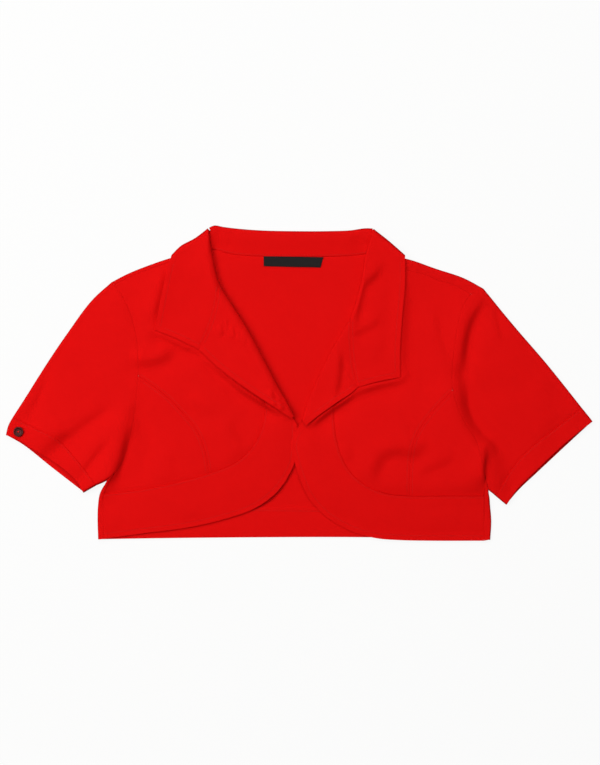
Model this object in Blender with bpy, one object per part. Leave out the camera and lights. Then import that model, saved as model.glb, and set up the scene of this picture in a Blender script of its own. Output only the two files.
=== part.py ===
# Short-sleeved bolero jacket, laid out flat on its back with the fronts up.
# Lengths are millimetres until a mesh is made. +X is the wearer's left, +Y the collar, +Z up.
# Every panel is worked out on the middle of its wall, and the wall is given by Solidify.

import math

import bmesh
import bpy
import numpy as np

MM = 0.001

CLOTH_WALL = 1.2         # a single panel
FACED_WALL = 1.5         # collar, lapels, bands and cuffs, which are two layers sewn together
LABEL_WALL = 1.0
SEAM_GAP = 0.3           # air between two panels at a seam
LAYER_GAP = 0.3          # air between two layers that lie on each other

BACK_LEVEL = CLOTH_WALL / 2
FRONT_LEVEL = 5.0        # middle of the front panels' wall above the table
HEM_DROP = 1.0           # the fronts sink onto the back at the hem
UNDER_EDGE_DROP = 1.3    # right front edge, under the left one at the middle
OVER_EDGE_RISE = 1.3     # left front edge, over the right one
TURNED_RISE = 2.1        # lapels and collar above the panel that they lie on
ROLL_REACH = 16.0        # how far the fullness of the roll spreads
ROLL_ROOM = 1.2          # air between the end of the roll and the panel under it
TIP_ROOM = 1.2           # more of it round the lapel's tip

FALL_LEVEL = FACED_WALL / 2              # the collar's back lies on the table under the back panel
NECK_LIFT = FACED_WALL + LAYER_GAP       # so the back panel rises over it
STAND_FOOT = 2.65        # middle of the stand's wall at the neck seam
STAND_TOP = 5.6          # and just before the top fold
STAND_END = 3.5          # the stand stops this far inside the top fold's ends
SHOULDER_ROW = 3.0       # first fold point of a sleeve down the armhole, from the shoulder
UNDERARM_ROW = 8.0       # last one, from the underarm
HEM_TURN_ROWS = 3        # rows of the back that its hem turns up over

# Two walls that turn round their folds side by side need more air than a flat seam: extra, over what reach.
SHOULDER_AIR = (0.45, 0.08)      # share of the armhole
UNDERARM_AIR = (0.85, 0.2)       # share of the armhole
GORGE_AIR = (0.6, 6.0)           # millimetres of the gorge
# Share by which a fold's end is drawn in at the armhole, back then sleeve: shoulder, underarm.
BACK_DRAWN = (0.25, 0.45)
SLEEVE_DRAWN = (0.3, 0.5)
STAND_DRAWN = 0.25
COLLAR_DRAWN = 0.35

BUTTON_RADIUS = 5.5
BUTTON_DEPTH = 2.4
BUTTON_AT = (-308.0, -53.5)
LABEL_BOX = (-38.5, 27.0, 128.0, 138.6)      # x from, x to, y from, y to

RED = (0.74, 0.012, 0.012)
DARK_RED = (0.62, 0.008, 0.009)
LABEL_BLACK = (0.012, 0.011, 0.012)
BUTTON_BROWN = (0.045, 0.012, 0.010)
CLOTH_ROUGHNESS = 0.75
BUTTON_ROUGHNESS = 0.3

ARC_STEPS = 4            # faces round a fold
ORIGIN = np.array([0.475, -0.476, 0.0])      # middle of the laid-out jacket in the tables' own places
EXTENSION = 20.0         # edges are lengthened by this before they are cut where they meet

# Number of faces along each edge that panels share.
ROWS = {
    "band_side": 5,
    "side": 1,
    "armhole_low": 7,
    "armhole_high": 6,
    "shoulder": 9,
    "band_low": 8,
    "neck": 10,
    "gorge": 5,
    "collar_front": 3,
    "sleeve": 7,
    "cuff": 2,
    "lapel": 12,
}

# Outlines, one row for each point: x, y.
RIGHT = {
    "sign": -1,
    "roll": [
        (-99.0, 171.0), (-97.5, 160.5), (-96.0, 147.0), (-94.0, 136.5), (-87.5, 110.0),
        (-73.5, 87.0), (-54.5, 57.0), (-40.0, 30.0), (-21.0, -6.0), (-9.0, -27.5), (-2.0, -40.0),
    ],
    "roll_knots": {"neck": 2, "gorge": 4, "band": 7},
    "armhole": [
        (-206.5, 111.0), (-197.0, 100.5), (-185.5, 76.5), (-179.5, 54.0), (-177.0, 26.5),
        (-177.0, 8.0), (-181.0, -34.0), (-189.5, -72.5), (-197.5, -93.0), (-211.0, -107.0),
    ],
    "armhole_knot": 5,
    "shoulder": [
        (-206.5, 111.0), (-188.0, 120.5), (-161.5, 131.0), (-140.0, 138.0), (-119.5, 143.5),
        (-100.0, 148.5),
    ],
    "shoulder_in": (4.2, 4.2, 4.2),          # seam inside the fold: at the armhole, half way, at the neck
    "side": [(-221.0, -172.0), (-221.5, -153.0), (-221.0, -135.0), (-219.0, -122.0), (-211.0, -107.0)],
    "side_seam": [(-215.0, -171.5), (-215.0, -122.5)],
    "underarm_in": 12.0,                     # side seam's upper end, along the armhole
    "princess": [
        (-177.0, 8.0), (-158.5, -4.5), (-144.0, -16.0), (-126.5, -34.5), (-114.5, -48.5),
        (-104.5, -70.5), (-98.5, -99.5),
    ],
    "band_seam": [
        (-215.0, -122.5), (-174.5, -117.5), (-136.0, -110.0), (-98.5, -99.5), (-70.0, -88.0),
        (-55.0, -75.5), (-45.5, -61.5), (-39.0, -43.0), (-37.0, -22.0), (-38.0, 2.0), (-40.0, 30.0),
    ],
    "band_seam_knot": 3,
    "free_edge": [
        (-215.0, -171.5), (-171.0, -165.5), (-119.0, -158.5), (-82.5, -150.0), (-48.5, -138.0),
        (-24.0, -120.0), (-9.5, -99.0), (-3.5, -84.0), (-1.5, -62.0), (-2.0, -40.0),
    ],
    "gorge": [(-87.5, 110.0), (-90.5, 88.0), (-97.0, 64.5), (-109.5, 37.0)],
    "lapel_edge": [
        (-109.5, 37.0), (-87.5, 16.5), (-66.5, 0.5), (-45.5, -14.0), (-24.5, -27.5), (-7.5, -39.0),
    ],
    "lapel_stop": 6.0,                       # roll left over below the lapel's tip
    "collar_front": [(-109.5, 37.0), (-133.0, 48.5), (-158.0, 58.5)],
    "collar_edge": [(-158.0, 58.5), (-150.5, 98.0), (-143.5, 128.0), (-139.0, 141.5)],
    "collar_fold": [(-99.0, 171.0), (-114.0, 159.6), (-129.5, 151.0), (-139.0, 141.5)],
    "collar_rows": 6,
    "sleeve_outer": [
        (-206.5, 111.0), (-227.5, 91.5), (-254.0, 56.0), (-280.0, 17.5), (-302.0, -17.5), (-315.0, -37.5),
    ],
    "cuff_outer": [(-315.0, -37.5), (-320.0, -47.0), (-322.5, -57.0)],
    "sleeve_under": [(-211.0, -107.0), (-217.0, -110.0), (-222.5, -112.5)],
    "cuff_under": [(-222.5, -112.5), (-229.5, -116.5), (-236.5, -120.5)],
    "cuff_seam": [(-315.0, -37.5), (-294.0, -47.5), (-268.0, -60.5), (-243.0, -86.0), (-222.5, -112.5)],
    "mouth_top": [
        (-322.5, -57.0), (-311.0, -61.5), (-288.5, -75.2), (-263.0, -91.2), (-246.0, -106.0),
        (-236.5, -120.5),
    ],
    "mouth_under": [(-322.5, -57.0), (-305.0, -67.0), (-273.6, -91.7), (-236.5, -120.5)],
}
LEFT = {
    "sign": 1,
    "roll": [
        (81.5, 170.3), (78.5, 158.0), (74.5, 144.0), (67.5, 106.0), (57.0, 72.0), (43.5, 48.5),
        (33.0, 30.0), (17.0, -4.0), (9.5, -22.5), (2.5, -46.0),
    ],
    "roll_knots": {"neck": 2, "gorge": 4, "band": 6},
    "armhole": [
        (203.5, 104.0), (190.5, 98.5), (181.5, 86.0), (173.0, 53.0), (169.0, 15.5), (169.5, -7.5),
        (181.0, -40.0), (193.5, -60.5), (200.5, -81.5), (204.5, -100.0), (208.5, -117.5),
    ],
    "armhole_knot": 5,
    "shoulder": [
        (203.5, 104.0), (182.0, 115.5), (151.0, 126.0), (123.5, 135.5), (100.5, 140.5), (79.5, 144.0),
    ],
    "shoulder_in": (13.0, 10.5, 16.0),
    "side": [(211.0, -172.5), (212.0, -151.5), (210.5, -134.0), (209.8, -125.0), (208.5, -117.5)],
    "side_seam": [(204.0, -173.5), (204.0, -124.5)],
    "underarm_in": 17.0,
    "princess": [
        (169.5, -7.5), (151.0, -27.0), (134.0, -49.0), (125.5, -68.0), (122.5, -95.0), (122.0, -124.5),
    ],
    "band_seam": [
        (204.0, -124.5), (160.0, -124.5), (122.0, -124.5), (95.0, -121.5), (72.0, -111.5),
        (56.5, -98.0), (47.0, -81.5), (41.0, -61.5), (38.0, -35.0), (36.5, 0.0), (33.0, 30.0),
    ],
    "band_seam_knot": 2,
    "free_edge": [
        (204.0, -173.5), (144.5, -173.5), (110.5, -172.8), (87.0, -171.0), (66.0, -166.0),
        (45.5, -157.0), (25.5, -143.0), (10.0, -124.5), (1.0, -104.5), (-5.0, -84.5), (-8.0, -68.0),
        (-5.0, -56.0), (2.5, -46.0),
    ],
    "gorge": [(57.0, 72.0), (57.5, 45.0), (60.0, 18.0), (65.0, -4.5)],
    "lapel_edge": [
        (65.0, -4.5), (55.5, -12.5), (44.5, -19.3), (34.0, -26.7), (20.5, -36.5), (8.0, -46.5),
    ],
    "lapel_stop": 6.0,
    "collar_front": [(65.0, -4.5), (81.5, 0.5), (111.5, 6.5)],
    "collar_edge": [(111.5, 6.5), (111.3, 35.0), (113.5, 70.0), (116.8, 110.0), (116.6, 141.0)],
    "collar_fold": [(81.5, 170.3), (98.5, 157.0), (116.6, 141.0)],
    "collar_rows": 9,
    "sleeve_outer": [
        (203.5, 104.0), (234.5, 66.0), (274.0, 20.0), (300.5, -13.0), (311.5, -27.0),
    ],
    "cuff_outer": [(311.5, -27.0), (318.0, -35.0), (323.5, -42.0)],
    "sleeve_under": [(208.5, -117.5), (213.0, -121.0), (217.0, -124.5)],
    "cuff_under": [(217.0, -124.5), (223.0, -129.5), (228.5, -134.0)],
    "cuff_seam": [(311.5, -27.0), (287.5, -46.0), (260.0, -67.5), (238.0, -90.0), (217.0, -124.5)],
    "mouth_top": [(323.5, -42.0), (297.0, -63.0), (261.0, -96.5), (240.0, -117.5), (228.5, -134.0)],
    "mouth_under": [(323.5, -42.0), (299.5, -64.0), (261.0, -100.0), (242.5, -117.5), (228.5, -134.0)],
}

# Top edge of the collar seen from the front, and the seam where the collar meets the back.
BACK_ROLL = [
    (-99.0, 171.0), (-93.5, 173.5), (-82.4, 171.9), (-68.5, 170.2), (-42.6, 168.2), (-3.0, 167.3),
    (34.4, 167.4), (56.4, 168.2), (74.0, 170.5), (81.5, 170.3),
]
NECK_SEAM = [
    (-100.0, 148.5), (-91.6, 147.0), (-79.0, 143.2), (-65.0, 141.0), (-42.5, 139.8), (-5.0, 139.3),
    (29.0, 139.4), (56.0, 140.3), (71.0, 142.0), (79.5, 144.0),
]
# Edge of the collar's back, hidden under the back panel.
FALL_EDGE = [(-139.0, 141.5), (-95.0, 126.0), (-45.0, 122.0), (25.0, 122.0), (75.0, 126.0), (116.6, 141.0)]
BACK_HEM_EDGE = [
    (-221.0, -172.0), (-161.5, -171.0), (-60.0, -170.0), (60.0, -169.7), (150.0, -171.0), (211.0, -172.5),
]

# Large soft folds of the fronts and sleeves: x1, y1, x2, y2, half width, depth.
TROUGHS = [
    (-212, -31, -276, -70, 13, 1.7),
    (-211, -65, -241, -104, 9, 1.5),
    (-280, 8, -297, -40, 9, 1.2),
    (-181, -34, -196, -92, 9, 2.0),
    (-175, -20, -175, -95, 12, 0.9),
    (190, 85, 182, 10, 9, 1.5),
    (182, 10, 199, -62, 9, 1.8),
    (199, -62, 232, -112, 9, 1.7),
    (216, 76, 219, 62, 8, 0.8),
    (90, -80, 140, -88, 14, 0.8),
]
# Fullness of the roll along it: share of the roll's length, rise.
ROLL_FULLNESS = [(0.0, 0.3), (0.12, 1.0), (0.3, 3.0), (0.5, 4.2), (0.8, 4.2), (1.0, 0.4)]


def smooth(t):
    t = np.clip(t, 0.0, 1.0)
    return t * t * (3.0 - 2.0 * t)


def dense(points, steps=24):
    # Smooth curve through the points: cubic pieces whose slopes come from the neighbours.
    p = np.asarray(points, float)
    t = np.concatenate([[0.0], np.cumsum(np.linalg.norm(np.diff(p, axis=0), axis=1) ** 0.75)])
    slope = np.gradient(p, t, axis=0)
    s = np.linspace(0.0, 1.0, steps, endpoint=False)[:, None]
    pieces = []
    for i in range(len(p) - 1):
        h = t[i + 1] - t[i]
        pieces.append(
            (2 * s**3 - 3 * s**2 + 1) * p[i]
            + (s**3 - 2 * s**2 + s) * h * slope[i]
            + (3 * s**2 - 2 * s**3) * p[i + 1]
            + (s**3 - s**2) * h * slope[i + 1]
        )
    return np.vstack(pieces + [p[-1:]])


def lengths(line):
    return np.concatenate([[0.0], np.cumsum(np.linalg.norm(np.diff(line, axis=0), axis=1))])


def at(line, distance):
    s = lengths(line)
    return np.stack([np.interp(distance, s, line[:, 0]), np.interp(distance, s, line[:, 1])], axis=-1)


def even(points, count, first=0.0, last=None):
    line = dense(points)
    stop = lengths(line)[-1] if last is None else last
    return at(line, np.linspace(first, stop, count + 1))


def knot_length(points, index, steps=24):
    return lengths(dense(points, steps))[index * steps]


def join(*parts):
    return np.vstack([parts[0]] + [part[1:] for part in parts[1:]])


def patch(bottom, right, top, left):
    # Plan grid between four edges. Rows run from bottom to top, columns from left to right.
    u = (lengths(bottom) / lengths(bottom)[-1] + lengths(top) / max(lengths(top)[-1], 1e-9)) / 2
    v = (lengths(left) / lengths(left)[-1] + lengths(right) / lengths(right)[-1]) / 2
    u = u[None, :, None]
    v = v[:, None, None]
    across = (1 - u) * left[:, None] + u * right[:, None]
    along = (1 - v) * bottom[None] + v * top[None]
    corners = (1 - v) * ((1 - u) * bottom[0] + u * bottom[-1]) + v * ((1 - u) * top[0] + u * top[-1])
    return across + along - corners


def side_normals(line, inward):
    tangent = np.gradient(line, axis=0)
    tangent /= np.maximum(np.linalg.norm(tangent, axis=1), 1e-9)[:, None]
    return inward * np.stack([-tangent[:, 1], tangent[:, 0]], axis=1)


def edge_shift(line, distance, inward):
    return line + side_normals(line, inward) * np.broadcast_to(distance, len(line))[:, None]


def pull_in(grid, bottom=0.0, right=0.0, top=0.0, left=0.0):
    # Moves the grid's edges inwards, and its corners to where the moved edges meet.
    rim = np.vstack([grid[0, :-1], grid[:-1, -1], grid[-1, :0:-1], grid[:0:-1, 0]])
    turn = np.sign(np.sum(rim[:, 0] * np.roll(rim[:, 1], -1) - rim[:, 1] * np.roll(rim[:, 0], -1)))
    rows, cols = grid.shape[:2]
    normals = {
        "bottom": side_normals(grid[0], turn),
        "right": side_normals(grid[:, -1], turn),
        "top": side_normals(grid[-1], -turn),
        "left": side_normals(grid[:, 0], -turn),
    }
    shift = {
        "bottom": np.broadcast_to(bottom, cols),
        "right": np.broadcast_to(right, rows),
        "top": np.broadcast_to(top, cols),
        "left": np.broadcast_to(left, rows),
    }
    out = grid.copy()
    out[0, 1:-1] += (normals["bottom"] * shift["bottom"][:, None])[1:-1]
    out[-1, 1:-1] += (normals["top"] * shift["top"][:, None])[1:-1]
    out[1:-1, 0] += (normals["left"] * shift["left"][:, None])[1:-1]
    out[1:-1, -1] += (normals["right"] * shift["right"][:, None])[1:-1]
    for row, col, flat, upright in ((0, 0, "bottom", "left"), (0, -1, "bottom", "right"),
                                    (-1, 0, "top", "left"), (-1, -1, "top", "right")):
        a, b = normals[flat][col], normals[upright][row]
        pair = np.array([a, b])
        wanted = np.array([shift[flat][col], shift[upright][row]])
        if abs(np.linalg.det(pair)) > 0.2:
            out[row, col] += np.linalg.solve(pair, wanted)
        else:
            out[row, col] += (a + b) / 2 * wanted.max()
    return out


def lengthened(line, extra=EXTENSION):
    first = line[0] - line[1]
    last = line[-1] - line[-2]
    return np.vstack([
        line[0] + first / np.linalg.norm(first) * extra,
        line,
        line[-1] + last / np.linalg.norm(last) * extra,
    ])


def meeting(a, b):
    # Distances along two lines to where they cross.
    p, r = a[:-1, None], (a[1:] - a[:-1])[:, None]
    q, s = b[None, :-1], (b[1:] - b[:-1])[None]
    cross = r[..., 0] * s[..., 1] - r[..., 1] * s[..., 0]
    cross = np.where(np.abs(cross) < 1e-9, 1e-9, cross)
    gap = q - p
    t = (gap[..., 0] * s[..., 1] - gap[..., 1] * s[..., 0]) / cross
    u = (gap[..., 0] * r[..., 1] - gap[..., 1] * r[..., 0]) / cross
    hit = (t >= 0) & (t <= 1) & (u >= 0) & (u <= 1)
    i, j = np.argwhere(hit)[0]
    return lengths(a)[i] + t[i, j] * np.linalg.norm(r[i]), lengths(b)[j] + u[i, j] * np.linalg.norm(s[0, j])


def framed_patch(bottom, right, top, left, counts, insets, corner=None):
    # Plan grid whose smooth edges are moved in, cut where they meet and divided evenly again.
    # counts: faces along each edge. insets: distance, or one for each point of the edge.
    # corner: number of faces before a corner within the top edge, and its distance along that edge.
    sides = [bottom, right, top, left]
    rim = np.vstack([bottom, right, top[::-1], left[::-1]])
    turn = np.sign(np.sum(rim[:, 0] * np.roll(rim[:, 1], -1) - rim[:, 1] * np.roll(rim[:, 0], -1)))
    turns = (turn, turn, -turn, -turn)
    moved = [lengthened(edge_shift(line, inset, way)) for line, inset, way in zip(sides, insets, turns)]
    low_left = meeting(moved[0], moved[3])
    low_right = meeting(moved[0], moved[1])
    high_left = meeting(moved[2], moved[3])
    high_right = meeting(moved[2], moved[1])
    spans = (
        (low_left[0], low_right[0]), (low_right[1], high_right[1]),
        (high_left[0], high_right[0]), (low_left[1], high_left[1]),
    )
    stations = [np.linspace(a, b, n + 1) for (a, b), n in zip(spans, counts)]
    if corner:
        before, place = corner
        start, stop = spans[2]
        place += EXTENSION
        stations[2] = np.concatenate([
            np.linspace(start, place, before + 1), np.linspace(place, stop, counts[2] - before + 1)[1:],
        ])
    return patch(*[at(line, station) for line, station in zip(moved, stations)])


def neck_lift(x, y):
    # The back and the shoulders rise where the collar's back lies under them.
    reach = np.interp(np.abs(x + 11.0), [0, 60, 110, 128, 142, 165], [122, 122, 124, 128, 138, 200])
    return NECK_LIFT * smooth((y - reach + 26.0) / 20.0)


def back_height(x, y):
    return BACK_LEVEL + neck_lift(x, y)


def front_height(x, y, sign):
    height = FRONT_LEVEL + neck_lift(x, y) - HEM_DROP * smooth((-118.0 - y) / 40.0)
    for x1, y1, x2, y2, half_width, depth in TROUGHS:
        run = np.array([x2 - x1, y2 - y1], float)
        share = np.clip(((x - x1) * run[0] + (y - y1) * run[1]) / (run @ run), 0.0, 1.0)
        away = np.hypot(x - x1 - share * run[0], y - y1 - share * run[1])
        height = height - depth * np.exp(-((away / half_width) ** 2))
    middle = np.exp(-((x / 15.0) ** 2)) * smooth((-30.0 - y) / 12.0) * smooth((y + 130.0) / 20.0)
    change = np.where(sign < 0, -UNDER_EDGE_DROP, OVER_EDGE_RISE)
    return height + change * middle


def roll_fullness(share):
    table = np.array(ROLL_FULLNESS)
    return np.interp(share, table[:, 0], table[:, 1])


def turned_height(x, y, half):
    # Lapels and collar lie on the fronts and stand up towards the roll line.
    line = dense(half["roll"], 8)
    s = lengths(line) / lengths(line)[-1]
    away = np.hypot(np.expand_dims(x, -1) - line[:, 0], np.expand_dims(y, -1) - line[:, 1])
    nearest = away.argmin(-1)
    fullness = roll_fullness(s[nearest]) * np.exp(-((away.min(-1) / ROLL_REACH) ** 2))
    return front_height(x, y, half["sign"]) + TURNED_RISE + fullness


def lip_radius(distance, half):
    total = lengths(dense(half["roll"]))[-1]
    return (TURNED_RISE + roll_fullness(np.asarray(distance) / total)) / 2


def raised(plan, height):
    return np.concatenate([plan, np.broadcast_to(height, plan.shape[:-1])[..., None]], axis=-1)


def fold(base, crest, z_from, z_to, wall, steps=ARC_STEPS):
    # Half turn round a fold: the wall's outer face just reaches the crest.
    reach = np.linalg.norm(crest - base, axis=1)
    arm = (crest - base) * np.clip(1.0 - wall / 2 / np.maximum(reach, 1e-6), 0.0, 1.0)[:, None]
    angle = np.linspace(0.0, math.pi, steps + 1)
    middle = (z_from + z_to) / 2
    half = (z_from - z_to) / 2
    rows = [raised(base + arm * math.sin(a), middle + half * math.cos(a)) for a in angle]
    return np.stack(rows)


def grid_faces(rows, cols, start, closed):
    index = start + np.arange(rows * cols).reshape(rows, cols)
    if closed:
        index = np.concatenate([index, index[:, :1]], axis=1)
    quads = np.stack([index[:-1, :-1], index[:-1, 1:], index[1:, 1:], index[1:, :-1]], axis=-1)
    return quads.reshape(-1, 4)


def make_material(name, color, roughness):
    material = bpy.data.materials.new(name)
    material.use_nodes = True
    shader = material.node_tree.nodes["Principled BSDF"]
    shader.inputs["Base Color"].default_value = (*color, 1.0)
    shader.inputs["Roughness"].default_value = roughness
    shader.inputs["Metallic"].default_value = 0.0
    return material


def add_object(name, verts, faces, color, roughness):
    mesh = bpy.data.meshes.new(name)
    mesh.from_pydata([tuple((v - ORIGIN) * MM) for v in verts], [], [tuple(int(i) for i in f) for f in faces])
    bm = bmesh.new()
    bm.from_mesh(mesh)
    bmesh.ops.remove_doubles(bm, verts=bm.verts, dist=1e-6)
    bmesh.ops.recalc_face_normals(bm, faces=bm.faces)
    bm.to_mesh(mesh)
    bm.free()
    mesh.shade_smooth()
    obj = bpy.data.objects.new(name, mesh)
    mesh.materials.append(make_material(name, color, roughness))
    obj.parent = jacket
    bpy.context.scene.collection.objects.link(obj)
    return obj


def add_cloth(name, grids, wall, color=RED, closed=False):
    verts, faces = [], []
    for grid in grids:
        rows, cols = grid.shape[:2]
        faces.extend(grid_faces(rows, cols, len(verts), closed))
        verts.extend(grid.reshape(-1, 3))
    obj = add_object(name, verts, faces, color, CLOTH_ROUGHNESS)
    solid = obj.modifiers.new("wall", "SOLIDIFY")
    solid.thickness = wall * MM
    solid.offset = 0.0
    return obj


def armhole_distances(half):
    # Distances along the armhole: the fold at the shoulder, the shared points, the fold at the underarm.
    total = lengths(dense(half["armhole"]))[-1]
    knot = knot_length(half["armhole"], half["armhole_knot"])
    shared = join(
        np.linspace(half["shoulder_in"][0] + 0.6, knot, ROWS["armhole_high"] + 1)[:, None],
        np.linspace(knot, total - half["underarm_in"], ROWS["armhole_low"] + 1)[:, None],
    )[:, 0]
    outer = np.concatenate([[SHOULDER_ROW], shared[:-1], [total - UNDERARM_ROW]])
    return shared, outer


def armhole_gap(count):
    # Wider at the shoulder and the underarm.
    share = np.linspace(0.0, 1.0, count)
    shoulder = SHOULDER_AIR[0] * smooth((SHOULDER_AIR[1] - share) / SHOULDER_AIR[1])
    underarm = UNDERARM_AIR[0] * smooth((share - 1.0 + UNDERARM_AIR[1]) / UNDERARM_AIR[1])
    return SEAM_GAP / 2 + shoulder + underarm


def side_points(half):
    # Side fold from the hem to the underarm, and the side seam on the front, point for point.
    level = half["side_seam"][1][1]
    line = dense(half["side"])
    s = lengths(line)
    turn = np.interp(level, line[:, 1], s)
    crest = join(at(line, np.linspace(0, turn, ROWS["band_side"] + 1)),
                 at(line, np.linspace(turn, s[-1], ROWS["side"] + 1)))
    total = lengths(dense(half["armhole"]))[-1]
    top = at(dense(half["armhole"]), total - half["underarm_in"])
    seam = join(np.linspace(half["side_seam"][0], half["side_seam"][1], ROWS["band_side"] + 1),
                np.linspace(half["side_seam"][1], top, ROWS["side"] + 1))
    return crest, seam


def shoulder_points(half):
    # Shoulder fold from armhole to neck, and the shoulder seam on the front, point for point.
    crest = even(half["shoulder"], ROWS["shoulder"])
    share = np.linspace(0.0, 1.0, ROWS["shoulder"] + 1)
    inside = np.interp(share, [0.0, 0.5, 1.0], half["shoulder_in"])
    seam = edge_shift(crest, inside, half["sign"])
    shared, _ = armhole_distances(half)
    seam[0] = at(dense(half["armhole"]), shared[0])
    seam[-1] = at(dense(half["roll"]), roll_start(half))
    return crest, seam


def roll_start(half):
    # Distance down the roll line to the shoulder seam.
    line = dense(half["roll"])
    level = half["shoulder"][-1][1] - half["shoulder_in"][2]
    return np.interp(-level, -line[:, 1], lengths(line))


def front_centre(half, name):
    line = dense(half["armhole"])
    shared, _ = armhole_distances(half)
    high = at(line, shared[:ROWS["armhole_high"] + 1])
    princess = even(half["princess"], ROWS["armhole_low"] + ROWS["side"])
    outer = join(high, princess)
    knots = half["roll_knots"]
    distance = np.linspace(roll_start(half), knot_length(half["roll"], knots["band"]), len(outer))
    inner = at(dense(half["roll"]), distance)
    _, shoulder = shoulder_points(half)
    turn = knot_length(half["band_seam"], half["band_seam_knot"])
    band = even(half["band_seam"], ROWS["shoulder"], first=turn)
    gap = SEAM_GAP / 2
    under = lip_radius(distance, half) + FACED_WALL / 2 + ROLL_ROOM
    plan = pull_in(patch(shoulder, inner, band, outer), bottom=gap, right=under, top=gap, left=gap)
    height = front_height(plan[..., 0], plan[..., 1], half["sign"])
    add_cloth(name, [raised(plan, height)], CLOTH_WALL)


def front_side(half, name):
    # The panel narrows to a point where the princess seam meets the armhole.
    line = dense(half["armhole"])
    shared, _ = armhole_distances(half)
    low = at(line, shared[ROWS["armhole_high"]:])
    _, seam = side_points(half)
    outer = join(low, seam[ROWS["band_side"]:][::-1])
    inner = even(half["princess"], len(outer) - 1)
    turn = knot_length(half["band_seam"], half["band_seam_knot"])
    band = even(half["band_seam"], ROWS["band_low"], last=turn)
    start = np.linspace(outer[1], inner[1], len(band))
    share = np.linspace(0.0, 1.0, len(outer) - 1)
    gap = SEAM_GAP / 2 + UNDERARM_AIR[0] * smooth((share - 0.55) / 0.3)
    gap[-1] = SEAM_GAP / 2
    plan = pull_in(patch(start, inner[1:], band, outer[1:]), right=SEAM_GAP / 2, top=SEAM_GAP / 2, left=gap)
    point = outer[0] + (plan[0].mean(axis=0) - outer[0]) * 0.12
    plan = np.concatenate([np.repeat(point[None, None], len(band), axis=1), plan])
    height = front_height(plan[..., 0], plan[..., 1], half["sign"])
    add_cloth(name, [raised(plan, height)], CLOTH_WALL)


def hem_band(half, name):
    turn = knot_length(half["band_seam"], half["band_seam_knot"])
    top = join(
        even(half["band_seam"], ROWS["band_low"], last=turn),
        even(half["band_seam"], ROWS["shoulder"], first=turn),
    )
    _, seam = side_points(half)
    left = seam[:ROWS["band_side"] + 1]
    line = dense(half["roll"])
    distance = np.linspace(lengths(line)[-1], knot_length(half["roll"], half["roll_knots"]["band"]), 40)
    under = lip_radius(distance, half) + FACED_WALL / 2 + ROLL_ROOM
    under += TIP_ROOM * np.exp(-np.abs(distance - distance[0]) / 15.0)
    roll = edge_shift(at(line, distance), under, half["sign"] * -1)
    _, roll_stop = meeting(dense(half["band_seam"]), roll)
    bottom = even(half["free_edge"], len(top) - 1)
    right = np.vstack([bottom[-1:], at(roll, np.linspace(1.5, roll_stop, ROWS["band_side"]))])
    top[-1] = right[-1]
    plan = pull_in(patch(bottom, right, top, left), top=SEAM_GAP / 2, left=SEAM_GAP / 2)
    height = front_height(plan[..., 0], plan[..., 1], half["sign"])
    add_cloth(name, [raised(plan, height)], FACED_WALL)


def lip(plan_edge, crest, half):
    # The roll: from the top layer, round the roll line, down to the panel that it belongs to.
    z_top = turned_height(plan_edge[:, 0], plan_edge[:, 1], half)
    z_low = front_height(plan_edge[:, 0], plan_edge[:, 1], half["sign"])
    return fold(plan_edge, crest, z_top, z_low, FACED_WALL)


def lapel(half, name):
    # Rows from the gorge down to the tip, columns from the roll line to the outer edge.
    line = dense(half["roll"])
    first = knot_length(half["roll"], half["roll_knots"]["gorge"])
    distance = np.linspace(first, lengths(line)[-1] - half["lapel_stop"], 60)
    inner = at(line, distance)
    outer = dense(half["lapel_edge"])
    gorge = dense(half["gorge"])
    tip = np.linspace(inner[-1], outer[-1], 4)
    gap = gorge_gap(gorge)
    counts = (ROWS["gorge"], ROWS["lapel"], ROWS["gorge"], ROWS["lapel"])
    reach = lip_radius(distance, half) + FACED_WALL / 2
    crest = framed_patch(gorge, outer, tip, inner, counts, (gap, 0, 0, 0))[:, 0]
    plan = framed_patch(gorge, outer, tip, inner, counts, (gap, 0, 0, reach))
    top = raised(plan, turned_height(plan[..., 0], plan[..., 1], half))
    add_cloth(name, [top, lip(plan[:, 0], crest, half)], FACED_WALL)


def gorge_gap(line):
    # Wider at the roll.
    return SEAM_GAP / 2 + GORGE_AIR[0] * np.exp(-lengths(line) / GORGE_AIR[1])


def collar_front(half):
    # One front end of the collar: rows from the shoulder fold down to the gorge.
    line = dense(half["roll"])
    distance = np.linspace(0.0, knot_length(half["roll"], half["roll_knots"]["gorge"]), 60)
    inner = at(line, distance)
    outer = dense(half["collar_edge"][::-1])
    across = ROWS["gorge"] + ROWS["collar_front"]
    shoulder = dense(half["collar_fold"])
    gorge = dense(half["gorge"])
    edge = dense(half["collar_front"])
    front = join(gorge, edge)
    gap = np.concatenate([gorge_gap(gorge), np.zeros(len(edge) - 1)])
    level = turned_height(shoulder[:, 0], shoulder[:, 1], half)
    wrap = (level - FALL_LEVEL) / 2 + FACED_WALL / 2
    reach = lip_radius(distance, half) + FACED_WALL / 2
    wrap *= 1.0 - COLLAR_DRAWN * smooth((lengths(shoulder) / lengths(shoulder)[-1] - 0.6) / 0.4)
    counts = (across, half["collar_rows"], across, half["collar_rows"])
    corner = (ROWS["gorge"], lengths(gorge)[-1])
    base = framed_patch(shoulder, outer, front, inner, counts, (wrap, 0, gap, reach), corner)
    roll_crest = framed_patch(shoulder, outer, front, inner, counts, (wrap, 0, gap, 0), corner)[:, 0]
    fold_crest = framed_patch(shoulder, outer, front, inner, counts, (0, 0, gap, reach), corner)[0]
    height = turned_height(base[..., 0], base[..., 1], half)
    turned = lip(base[:, 0], roll_crest, half)
    wrapped = fold(base[0], fold_crest, height[0], np.full(across + 1, FALL_LEVEL), FACED_WALL)
    return raised(base, height), turned, wrapped


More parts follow.
